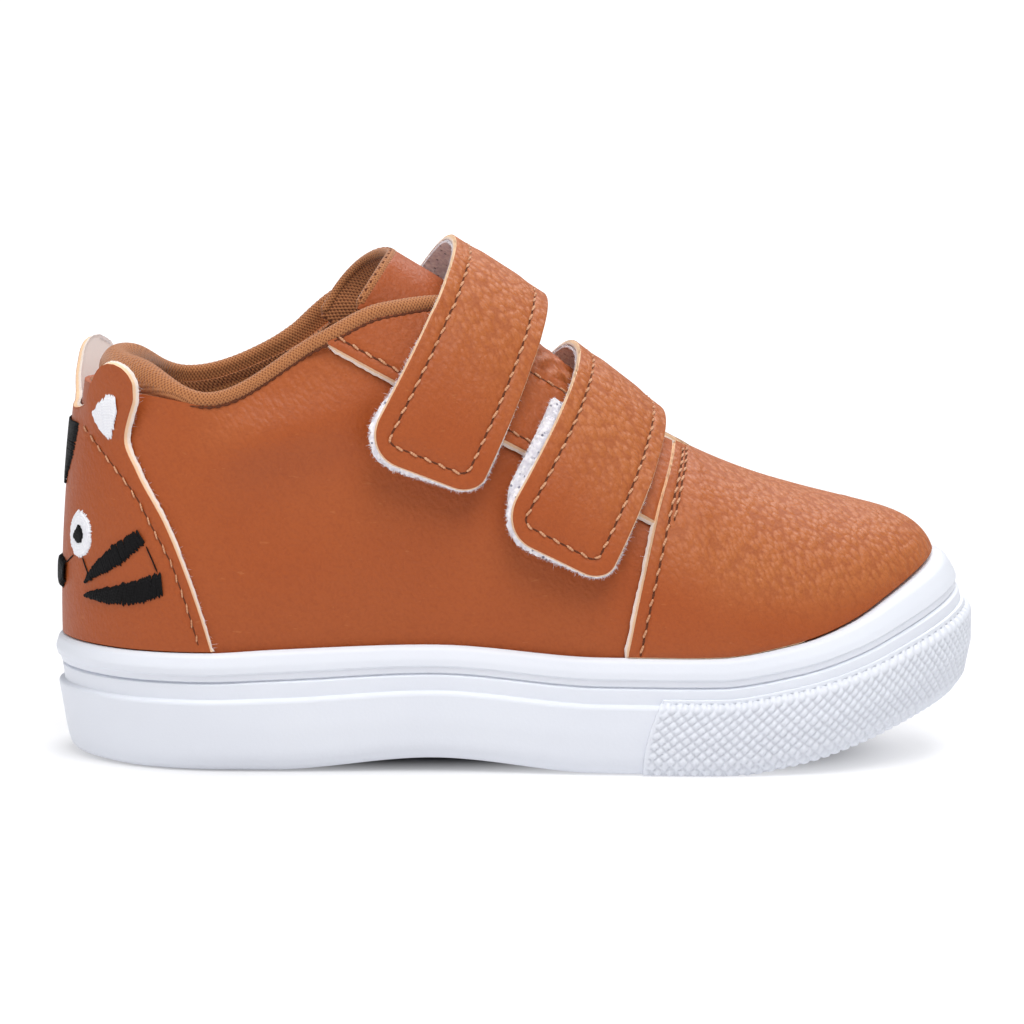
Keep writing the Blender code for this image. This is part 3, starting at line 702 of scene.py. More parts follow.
@dataclass(frozen=True)
class Leather:
    """Tan pebbled leather, painted paler as a highlight where it faces up, and at its cut edges a cream core
    over white backing.
    """

    colour: Colour = (0.374, 0.077, 0.0134)
    # Darker tone: random pores, and painted shade in the creases between pebbles
    deep: Colour = (0.25, 0.044, 0.0075)
    # Paler tone: random patches and scuffs, and a painted highlight where the pebble number is high
    pale: Colour = (0.53, 0.178, 0.052)
    core: Colour = (0.87, 0.60, 0.38)
    fray: Colour = (0.86, 0.73, 0.64)
    backing: Colour = (0.95, 0.89, 0.86)
    pebble: Triple = (1010.0, 640.0, 600.0)
    lean: float = 0.45
    smooth: float = 0.25
    bend: Pair = (240.0, 0.0009)
    depth: float = 0.2

    def make(self) -> Material:
        """The material: pebbles are rounded cells, bent by noise and deeper where the pebble number says,
        which also paints the colour paler as a highlight.

        Returns:
            The material.
        """
        graph = Graph("leather")
        where = graph.place()
        scale, reach = self.bend
        bent = graph.node("ShaderNodeTexNoise", {}, {"Vector": where, "Scale": scale, "Detail": 1.0})
        inputs = {"Vector": bent.outputs["Color"], "Scale": reach}
        shift = graph.node("ShaderNodeVectorMath", {"operation": "SCALE"}, inputs)
        inputs = {0: where, 1: shift.outputs["Vector"]}
        moved = graph.node("ShaderNodeVectorMath", {"operation": "ADD"}, inputs)
        x, y, z = graph.split(moved.outputs["Vector"])
        across, deep, down = self.pebble
        slanted = graph.node(
            "ShaderNodeCombineXYZ", {}, {"X": (x + z * self.lean) * across, "Y": y * deep, "Z": z * down}
        )
        grain, rim = graph.number("grain"), graph.number("rim")
        away = graph.cells(slanted.outputs["Vector"], 1.0, Smoothness=self.smooth)
        dome, crease = (1 - away.step(0.1, 0.75)) * grain, away.step(0.42, 0.78) * grain
        pores = graph.noise(where, 1900.0, 3.0)
        scuffs = graph.noise(graph.place((420.0, 420.0, 1500.0)), 1.0, 2.0).step(0.7, 0.76)
        patches = graph.noise(where, 55.0, 3.0)
        fuzz = graph.noise(where, 5200.0, 2.0)
        # Painted highlight: paler where the pebble number is high (leather facing up, and a band under the
        # collar), with random patches and scuffs
        body = graph.mix((grain - 0.15) * 0.7 + (patches - 0.5) * 0.22 + scuffs * 0.3, self.colour, self.pale)
        # Painted shade in the creases between pebbles, with random darker pores
        body = graph.mix(crease * 0.4 + (pores - 0.45) * 0.8, body, self.deep)
        edge = graph.mix((rim + (fuzz - 0.5) * 0.4).step(0.5, 0.62), self.core, self.fray)
        edge = graph.mix(rim.step(0.92, 1.0), edge, self.backing)
        colour = graph.mix((rim + (fuzz - 0.5) * 0.1).step(0.12, 0.2), body, edge)
        on_edge = rim.step(0.2, 0.5)
        height = (pores * 0.11 + dome * self.depth) * (1 - on_edge) + fuzz * 0.04 * on_edge
        roughness = 0.5 + crease * 0.12 + (patches - 0.5) * 0.1 + on_edge * 0.4
        return graph.done(
            Base_Color=colour, Roughness=roughness, Normal=graph.bump(height), Specular_IOR_Level=0.35
        )


@dataclass(frozen=True)
class Knit:
    """Brown knitted mesh whose rows follow the chart, each row's small gaps between the next one's."""

    name: str
    colour: Colour
    dark: Colour
    pitch_u: float
    pitch_v: float
    depth: float

    def make(self) -> Material:
        """The material: gaps where the product of two waves is low, made uneven by the yarn.

        Returns:
            The material.
        """
        graph = Graph(self.name)
        u, v = graph.chart()
        where = graph.place()
        loops = (u.wave(self.pitch_u) - 0.5) * (v.wave(self.pitch_v) - 0.5) * 2 + 0.5
        yarn = graph.noise(where, 1800.0, 3.0)
        gaps = (loops + (yarn - 0.5) * 0.4).step(0.05, 0.6)
        colour = graph.mix(1 - gaps, self.colour, self.dark)
        height = loops * self.depth + yarn * 0.05
        return graph.done(
            Base_Color=colour, Roughness=0.86 - gaps * 0.1, Normal=graph.bump(height),
            Specular_IOR_Level=0.25, Sheen_Weight=0.25, Sheen_Roughness=0.5,
        )


@dataclass(frozen=True)
class Rubber:
    """White moulded rubber with the faint unevenness of its mould."""

    colour: Colour = (0.77, 0.795, 0.855)
    shade: Colour = (0.745, 0.77, 0.835)

    def make(self) -> Material:
        """The material: wide soft patches and a fine skin.

        Returns:
            The material.
        """
        graph = Graph("rubber")
        where = graph.place()
        patches = graph.noise(where, 38.0, 3.0)
        skin = graph.noise(where, 1900.0, 3.0)
        colour = graph.mix(patches.step(0.25, 0.8), self.colour, self.shade)
        return graph.done(
            Base_Color=colour, Roughness=0.46 + (skin - 0.5) * 0.2,
            Normal=graph.bump(skin * 0.02 + patches * 0.08), Specular_IOR_Level=0.4,
        )


@dataclass(frozen=True)
class Felt:
    """White brushed backing with a lilac cast and a few dark specks."""

    name: str = "felt"
    specks: float = 0.85
    colour: Colour = (0.96, 0.94, 0.96)
    shade: Colour = (0.74, 0.72, 0.79)
    speck: Colour = (0.10, 0.10, 0.17)

    def make(self) -> Material:
        """The material: matted noise, and specks where scattered cells are nearest.

        Returns:
            The material.
        """
        graph = Graph(self.name)
        where = graph.place()
        mat = graph.noise(where, 1500.0, 4.0)
        fine = graph.noise(where, 5200.0, 2.0)
        dots = 1 - graph.cells(where, 900.0).step(0.15, 0.28)
        few = graph.noise(where, 500.0, 1.0).step(0.4, 0.5)
        colour = graph.mix(mat.step(0.35, 0.7), self.shade, self.colour)
        colour = graph.mix(dots * few * self.specks, colour, self.speck)
        return graph.done(
            Base_Color=colour, Roughness=0.95, Normal=graph.bump(mat * 0.2 + fine * 0.05),
            Specular_IOR_Level=0.15, Sheen_Weight=0.3, Sheen_Roughness=0.6,
        )


@dataclass(frozen=True)
class Thread:
    """Sewing or embroidery thread, its twist showing as slanting bands."""

    name: str
    colour: Colour
    shade: Colour
    twist: float
    gloss: float
    shine: float = 0.3

    def make(self) -> Material:
        """The material: bands along the strand's run, and one tone for each strand.

        Returns:
            The material.
        """
        graph = Graph(self.name)
        run, tone = graph.number("run"), graph.number("tone")
        where = graph.place()
        bands = run.wave(self.twist)
        uneven = graph.noise(where, 1300.0, 1.0)
        lot = (tone * 97.0).math("FRACT")
        share = bands * 0.35 + uneven * 0.5 + lot * 0.2
        colour = graph.mix(share, self.shade, self.colour)
        return graph.done(
            Base_Color=colour, Roughness=self.gloss + uneven * 0.1, Normal=graph.bump(bands * 0.05),
            Specular_IOR_Level=self.shine,
        )


@dataclass(frozen=True)
class Finishes:
    """Every material of the shoe, made once."""

    leather: Material
    lining: Material
    tape: Material
    rubber: Material
    felt: Material
    footbed: Material
    thread: Material
    hole: Material
    black: Material
    white: Material

    @classmethod
    def make(cls) -> "Finishes":
        """Builds the materials."""
        return cls(
            leather=Leather().make(),
            lining=Knit("lining", (0.50, 0.195, 0.075), (0.16, 0.045, 0.016), 0.68, 1.04, 0.13).make(),
            tape=Knit("tape", (0.47, 0.185, 0.066), (0.21, 0.062, 0.019), 0.58, 0.92, 0.11).make(),
            rubber=Rubber().make(),
            felt=Felt().make(),
            footbed=Felt("footbed", 0.0, (0.72, 0.66, 0.60), (0.60, 0.54, 0.49)).make(),
            thread=Thread("thread", (0.74, 0.42, 0.25), (0.44, 0.17, 0.075), 0.45, 0.42).make(),
            # Dark brown for the painted shade in needle holes, stitch grooves and seams
            hole=Thread("stitch_hole", (0.15, 0.04, 0.015), (0.09, 0.024, 0.009), 0.5, 0.8).make(),
            black=Thread("black_thread", (0.006, 0.005, 0.006), (0.002,) * 3, 0.5, 0.55, 0.14).make(),
            white=Thread("white_thread", (0.96, 0.96, 0.98), (0.80, 0.80, 0.86), 0.5, 0.5).make(),
        )


# The shoe's form


@dataclass(frozen=True)
class Sections:
    """Cubic sections of the wall at some turns, ready to be read at any rise."""

    foot: Array
    inward: Array
    chord: Array
    lean: Array
    cup_depth: float
    depths: tuple[Number, ...]
    heights: tuple[Number, ...]

    def part(self, corners: tuple[Number, ...], rise: Number, ahead: Array) -> Array:
        """One coordinate: the cubic between rises 0 and 1, and straight on above.

        Args:
            corners: The cubic's four corners.
            rise: Rises to read at.
            ahead: The slope above rise 1.

        Returns:
            The coordinate.
        """
        t = np.clip(rise, 0.0, 1.0)
        share = ((1 - t) ** 3, 3 * t * (1 - t) ** 2, 3 * t * t * (1 - t), t**3)
        past = np.maximum(np.asarray(rise) - 1.0, 0.0) * self.chord
        return sum(s * c for s, c in zip(share, corners)) + past * ahead

    def z(self, rise: Number) -> Array:
        """Heights, going straight down below rise 0."""
        return self.part(self.heights, rise, np.cos(self.lean)) + np.minimum(rise, 0.0) * self.cup_depth

    def at(self, rise: Number) -> Array:
        """Points."""
        deep, z = self.part(self.depths, rise, np.sin(self.lean)), self.z(rise)
        return np.concatenate([self.foot + self.inward * deep[..., None], z[..., None]], -1)


@dataclass(frozen=True)
class Last:
    """The form that the shoe is built on, as the solids have it."""

    length: float = 161.5
    wall_thickness: float = 1.6
    cup_depth: float = 7.6
    heel_centre: float = -56.0
    toe_pole: float = 57.0
    toe_swing: float = 3.0
    toe_swing_start: float = 20.0
    heel_round: float = 26.0
    toe_round: float = 37.0
    heel_zone: Pair = (-38.0, -72.0)
    toe_zone: Pair = (26.0, 74.0)
    rim_inside: Triple = (-2.2, -3.7, -8.7)
    half_widths: Table = Table(("x", "lateral", "medial"), (
        (-80.75, 25.2, 25.2), (-56.0, 25.6, 25.2), (-22.0, 26.8, 24.6), (10.0, 31.4, 28.6),
        (32.0, 33.9, 32.0), (55.0, 34.4, 32.9), (80.75, 34.2, 33.1),
    ))
    sole_heights: Table = Table(("x", "tread", "rim"), (
        (-80.75, 0.5, 20.4), (-68.0, 0.0, 20.3), (-57.0, 0.0, 20.3), (-46.0, 0.0, 20.8),
        (-18.0, 2.2, 21.8), (10.0, 0.0, 20.1), (30.0, 0.0, 20.2), (44.5, 2.0, 22.3),
        (56.5, 4.9, 25.4), (67.0, 7.9, 29.4), (80.75, 11.5, 34.6),
    ))
    sections: Table = Table(
        ("x", "top", "medial", "opening", "lean_low", "lean_top", "full_low", "full_top"), (
            (-78.3, 64.4, 0.0, 20.3, 2.0, 6.0, 0.34, 0.34),
            (-68.0, 63.6, 0.0, 20.4, 3.0, 6.0, 0.34, 0.34),
            (-57.0, 62.4, -0.2, 20.4, 4.0, 6.0, 0.34, 0.34),
            (-38.0, 72.3, -3.6, 19.6, 3.0, 12.0, 0.36, 0.36),
            (-27.0, 77.0, -0.8, 17.4, 2.0, 24.0, 0.38, 0.34),
            (-17.0, 77.9, 0.0, 14.4, 2.0, 34.0, 0.40, 0.34),
            (-1.0, 67.6, 0.0, 12.6, 2.0, 44.0, 0.42, 0.36),
            (12.0, 60.2, 0.0, 11.4, 3.0, 50.0, 0.43, 0.38),
            (20.0, 55.8, 0.0, 9.6, 3.0, 58.0, 0.43, 0.40),
            (25.0, 53.2, 0.0, 6.4, 4.0, 72.0, 0.43, 0.42),
            (28.0, 51.7, 0.0, 3.6, 3.2, 84.0, 0.42, 0.435),
            (29.0, 51.2, 0.0, 0.0, 3.0, 90.0, 0.42, 0.44),
            (38.0, 47.7, 0.0, 0.0, 0.0, 90.0, 0.40, 0.44),
            (49.0, 44.4, 0.0, 0.0, -5.0, 90.0, 0.37, 0.43),
            (57.0, 42.4, 0.0, 0.0, -10.0, 90.0, 0.34, 0.42),
            (72.8, 38.6, 0.0, 0.0, -22.0, 76.0, 0.30, 0.42),
        ))
    vamp_edge: Table = Table(("z", "x"), (
        (19.0, 14.6), (33.0, 17.3), (44.0, 20.2), (52.0, 24.0), (55.0, 25.6),
    ))

    def x_of_turn(self, turn: Number) -> Array:
        """The x of the plan outline: half the length times minus the cosine of the turn."""
        return -self.length / 2 * np.cos(np.pi * np.asarray(turn))

    def turn_of_x(self, x: Number) -> Array:
        """The turn on the lateral side where the outline has this x."""
        return np.arccos(np.clip(-2 * np.asarray(x, float) / self.length, -1, 1)) / np.pi

    def centre_y(self, x: Number) -> Array:
        """The middle of the plan, which swings to the inner side at the toe."""
        return self.toe_swing * ease(self.toe_swing_start, self.length / 2, x)

    def outline(self, turn: Number) -> Array:
        """The sole's plan: half widths from the table, times an ellipse's ends at heel and toe.

        Args:
            turn: Turns.

        Returns:
            Flat points.
        """
        turn = np.mod(turn, 2.0)
        x = self.x_of_turn(turn)
        heel = np.clip((self.heel_round - self.length / 2 - x) / self.heel_round, 0, 1)
        toe = np.clip((x - self.length / 2 + self.toe_round) / self.toe_round, 0, 1)
        ends = np.sqrt(np.maximum((1 - heel**2) * (1 - toe**2), 0))
        lateral = -self.half_widths.read("lateral", x)
        medial = self.half_widths.read("medial", x)
        y = self.centre_y(x) + np.where(turn <= 1, lateral, medial) * ends
        return np.stack([x, y], -1)

    def plan(self, turn: Number, outset: Number) -> Array:
        """The outline moved outwards along its normal.

        Args:
            turn: Turns.
            outset: How far outwards.

        Returns:
            Flat points.
        """
        turn = np.asarray(turn, float)
        small = 1e-3
        along = unit(self.outline(turn + small) - self.outline(turn - small))
        normal = np.stack([along[..., 1], -along[..., 0]], -1)
        return self.outline(turn) + normal * np.asarray(outset)[..., None]

    def half_turns(self, count: int, start: float = 0.0) -> Array:
        """Turns from a start to the toe, evenly spaced along the lateral outline.

        Args:
            count: How many.
            start: The first turn.

        Returns:
            The turns.
        """
        fine = np.linspace(start, 1, 1601)
        run = travelled(self.outline(fine))
        return np.interp(np.linspace(0, run[-1], count), run, fine)

    @staticmethod
    def all_round(lateral: Array) -> Array:
        """The same turns carried on round the medial side, back to the start."""
        return np.concatenate([lateral, 2 - lateral[-2::-1]])

    def by_zone(self, x: Number, heel: Number, flank: Number, toe: Number) -> Array:
        """A size that differs at the heel, along the flanks and at the toe."""
        at_heel, at_toe = ease(*self.heel_zone, x), ease(*self.toe_zone, x)
        return flank + (heel - flank) * at_heel + (toe - flank) * at_toe

    def tread(self, x: Number) -> Array:
        """The height of the tread's edge."""
        return self.sole_heights.read("tread", x)

    def rim(self, x: Number) -> Array:
        """The height of the cup's top edge."""
        return self.sole_heights.read("rim", x)

    def feather(self, turn: Number, inward: float = 0.0) -> Array:
        """The upper's lower edge in plan, just inside the cup."""
        x = self.x_of_turn(np.mod(turn, 2.0))
        return self.plan(turn, self.by_zone(x, *self.rim_inside) - GAP - inward)

    def foot_x(self, turn: Number) -> Array:
        """The x of a section's foot, the same for both sides so that they meet on the spine."""
        return (self.feather(turn)[..., 0] + self.feather(2 - np.asarray(turn))[..., 0]) / 2

    def sections_at(self, turn: Number) -> "Sections":
        """The wall's sections at some turns: cubic curves in planes that face the spine.

        Args:
            turn: Turns.

        Returns:
            The sections.
        """
        turn = np.asarray(turn, float)
        around = np.mod(turn, 2.0)
        key, foot = self.foot_x(turn), self.feather(turn)
        spine_x = np.clip(key, self.heel_centre, self.toe_pole)
        inward = np.stack([spine_x, self.centre_y(spine_x)], -1) - foot
        reach = np.linalg.norm(inward, axis=-1)
        column = {name: self.sections.read(name, key) for name in self.sections.columns[1:]}
        ridge = self.sections.read("top", np.minimum(key, self.toe_pole))
        top = ridge + np.where(around > 1, column["medial"], 0.0)
        low = self.rim(self.x_of_turn(around)) + GAP
        inset = reach - np.minimum(column["opening"], reach)
        chord = np.hypot(inset, top - low)
        lean_low, lean_top = np.radians(column["lean_low"]), np.radians(column["lean_top"])
        handle_low, handle_top = column["full_low"] * chord, column["full_top"] * chord
        return Sections(
            foot, inward / reach[..., None], chord, lean_top, self.cup_depth,
            (0.0, -np.sin(lean_low) * handle_low, inset - np.sin(lean_top) * handle_top, inset),
            (low, low + np.cos(lean_low) * handle_low, top - np.cos(lean_top) * handle_top, top),
        )

    def wall(self, turn: Number, rise: Number) -> Array:
        """The upper's outer face, by turn and rise."""
        return self.sections_at(turn).at(rise)

    def normal(self, turn: Number, rise: Number) -> Array:
        """The wall's outward normal, which turns into the ridge's own where the two sides meet.

        Args:
            turn: Turns.
            rise: Rises.

        Returns:
            The normals.
        """
        turn, rise = np.broadcast_arrays(np.asarray(turn, float), np.asarray(rise, float))
        small = 2e-3
        level = np.where(rise > 1.0, rise, np.clip(rise, small, 0.985))
        along = self.wall(turn + small, level) - self.wall(turn - small, level)
        up = self.wall(turn, level + small) - self.wall(turn, level - small)
        face = unit(np.cross(along, up))
        key = np.clip(self.foot_x(turn), None, self.toe_pole)
        slope = self.sections.read("top", key + 0.5) - self.sections.read("top", key - 0.5)
        ridge = unit(np.stack([-slope, 0 * slope, 1 + 0 * slope], -1))
        share = ease(0.85, 1.0, rise) * ease(4.0, 0.0, self.sections.read("opening", key))
        return unit(face + (ridge - face) * share[..., None])

    def off(self, turn: Number, rise: Number, offset: Number) -> Array:
        """Points standing off the wall by some distance."""
        return self.wall(turn, rise) + self.normal(turn, rise) * np.asarray(offset)[..., None]

    def rise_at(self, turn: Number, z: Number) -> Array:
        """How far up the wall a height lies, by halving.

        Args:
            turn: Turns.
            z: Heights.

        Returns:
            Rises.
        """
        turn, z = np.broadcast_arrays(np.asarray(turn, float), np.asarray(z, float))
        sections = self.sections_at(turn)
        low, high = np.zeros(turn.shape), np.full(turn.shape, 1.6)
        for _ in range(26):
            middle = (low + high) / 2
            below = sections.z(middle) < z
            low, high = np.where(below, middle, low), np.where(below, high, middle)
        return (low + high) / 2

    def side_turn(self, x: Number, rise: float) -> Array:
        """The turn on the lateral side where the wall, at this rise, has this x."""
        turn = np.linspace(0, 1, 1601)
        return np.interp(x, self.wall(turn, rise)[:, 0], turn)

    def side_y(self, x: Array, z: Array, medial: Array, standoff: Array) -> Array:
        """How far out from the middle a skin over the wall stands at a place seen from the side.

        Args:
            x: Places along the shoe.
            z: Heights.
            medial: Whether on the medial side.
            standoff: How far the skin stands off the wall.

        Returns:
            Distances from the middle.
        """
        turn = self.side_turn(x, 0.5)
        turn = np.where(medial, 2 - turn, turn)
        rise = np.minimum(self.rise_at(turn, z), 1.0)
        slant = np.clip(np.abs(self.normal(turn, rise)[..., 1]), 0.5, 1.0)
        return np.abs(self.wall(turn, rise)[..., 1]) + standoff / slant

    def vamp_turn(self, rise: Array) -> Array:
        """The turn of the vamp's rear edge at each rise of a column, on the lateral side.

        Args:
            rise: Rises, as a column.

        Returns:
            Turns, as a column.
        """
        turn = np.linspace(0.5, 0.65, 601)
        face = self.wall(turn, rise)
        past = face[..., 0] - self.vamp_edge.read("x", face[..., 2])
        row, i = np.arange(len(past)), (past < 0).sum(axis=1) - 1
        share = past[row, i] / (past[row, i] - past[row, i + 1])
        return (turn[i] + share * (turn[1] - turn[0]))[:, None]

    def heel_turn(self, degrees: Number) -> Array:
        """The turn at an angle round the heel's centre from the back, the lateral side positive.

        Args:
            degrees: Angles.

        Returns:
            Turns.
        """
        turn = np.linspace(-0.6, 0.6, 1201)
        foot = self.feather(turn)
        angle = np.degrees(np.arctan2(-foot[:, 1], self.heel_centre - foot[:, 0]))
        return np.interp(degrees, angle, turn)


# Sewing


@dataclass
class Sewing:
    """Rows of stitches, collected from all the panels and made as two pieces."""

    finishes: Finishes
    pitch: float = 2.6
    length: float = 1.62
    half_width: float = 0.21
    half_height: float = 0.17
    arch: float = 0.2
    sunk: float = 0.12
    slant: float = 0.18
    # The dark strand under the stitches, painted shade: its half widths, its half height and how far it is
    # sunk
    slot: Pair = (0.1, 0.15)
    slot_height: float = 0.07
    slot_sunk: float = 0.16
    groove_depth: float = 0.2
    groove_width: float = 0.5
    threads: list[Shape] = field(default_factory=list)
    holes: list[Shape] = field(default_factory=list)
    random: np.random.Generator = field(default_factory=lambda: np.random.default_rng(7))

    def groove(self, points: Array, *paths: Array) -> Array:
        """How far the leather is drawn in along rows of stitches: a bell over the distance to them.

        Args:
            points: Points of the leather's face.
            *paths: The rows of stitches.

        Returns:
            A relief at each point, zero or less.
        """
        place = points.reshape(-1, 3)
        deep = np.zeros(len(place))
        for path in paths:
            gap = np.linalg.norm(place[:, None] - path[None, :, :3], axis=-1).min(axis=1)
            deep = np.maximum(deep, np.exp(-((gap / self.groove_width) ** 2)))
        return -self.groove_depth * deep.reshape(points.shape[:-1])

    def sew_rows(self, face: Array, *rows: Array) -> Array:
        """Sews rows of points and normals, and says how far they draw a face in."""
        for row in rows:
            self.sew(row[:, :3], row[:, 3:])
        return self.groove(face, *rows)

    def sew(self, path: Array, normal: Array, weight: float = 1.0) -> None:
        """Adds a row of stitches: short slanted arches over a dark strand that widens at each needle hole,
        painted shade in the groove and the holes.

        Args:
            path: Points along the row, on the leather's face.
            normal: The face's normals there.
            weight: A factor on the thread's and the slot's widths.
        """
        run = travelled(path)
        count = max(int(run[-1] / self.pitch), 1)
        start = (np.arange(count) + 0.5) * run[-1] / count
        t = np.linspace(-1, 1, 9)
        long = self.length * (1 + 0.08 * self.random.standard_normal(count))
        at = start[:, None] + long[:, None] / 2 * t
        up = unit(along_path(at, run, normal))
        ahead = unit(along_path(at + 0.05, run, path) - along_path(at - 0.05, run, path))
        aside = np.cross(ahead, up)
        sway = self.slant * t + 0.04 * self.random.standard_normal((count, 1))
        thin = dome(t)
        height = self.arch * thin - self.sunk
        spine = along_path(at, run, path) + up * height[:, None] + aside * sway[..., None]
        self.threads.append(strands(spine, up, self.half_width * weight * thin, self.half_height * thin))
        # A dark strand sunk along the row, wider at each needle hole: painted shade
        at = np.linspace(0, run[-1], 12 * count + 1)
        up = unit(along_path(at, run, normal))
        sunk = along_path(at, run, path) - up * self.slot_sunk
        ends = np.minimum(1, 3 * to_ends(at))
        wide = self.slot[0] + self.slot[1] * np.cos(np.pi * count * at / run[-1]) ** 6
        high = self.slot_height * ends
        self.holes.append(strands(sunk[None], up[None], (weight * wide * ends)[None], high[None]))

    def build(self) -> None:
        """Makes the stitches, and the dark strands of painted shade in their holes and seams."""
        Shape.join(*self.threads).piece("stitches", self.finishes.thread, Slot.LEATHER)
        Shape.join(*self.holes).piece("stitch_holes", self.finishes.hole, Slot.LEATHER)


@dataclass
class Fuzz:
    """Loose fibres along cut edges, collected and made as one piece."""

    finishes: Finishes
    name: str
    radius: float = 0.035
    hairs: list[Shape] = field(default_factory=list)
    random: np.random.Generator = field(default_factory=lambda: np.random.default_rng(11))

    def grow(self, path: Array, out: Array, up: Array, spacing: float, length: float) -> None:
        """Adds fibres along a path, each a short bent hair that leans its own way.

        Args:
            path: Points along the edge.
            out: The direction away from the edge at each point.
            up: The direction off the surface at each point.
            spacing: The mean distance from fibre to fibre.
            length: A fibre's usual length.
        """
        run = travelled(path)
        count = int(run[-1] / spacing)
        at = np.sort(self.random.uniform(0, run[-1], count))
        root, away, lift = (along_path(at, run, values) for values in (path, out, up))
        away, lift = unit(away), unit(lift)
        ahead = np.cross(away, lift)
        lean = self.random.normal(0, 0.6, (count, 3, 1))
        size = length * self.random.gamma(4.0, 0.25, (count, 1, 1))
        t = np.linspace(0, 1, 5)[None, :, None]
        heading = away + ahead * lean[:, 0] + lift * (0.15 + 0.4 * lean[:, 1])
        curl = ahead * lean[:, 2] - lift * 0.3
        root = root + lift * self.random.uniform(-0.25, 0.25, (count, 1))
        spine = root[:, None] + size * (unit(heading)[:, None] * t + 0.35 * curl[:, None] * t**2)
        thin = self.radius * (1 - 0.75 * t[..., 0]) * np.array([1, 1, 1, 1, 0])
        side = np.broadcast_to((lift + 0.3 * ahead)[:, None], spine.shape)
        self.hairs.append(strands(spine, side, thin, thin, sides=3))

    def build(self) -> None:
        """Makes the fibres."""
        Shape.join(*self.hairs).piece(self.name, self.finishes.felt, Slot.FLEECE)


# The shoe's pieces


@dataclass
class Part:
    """What every part of the shoe is made with."""

    last: Last
    finishes: Finishes
    sewing: Sewing
    fuzz: Fuzz


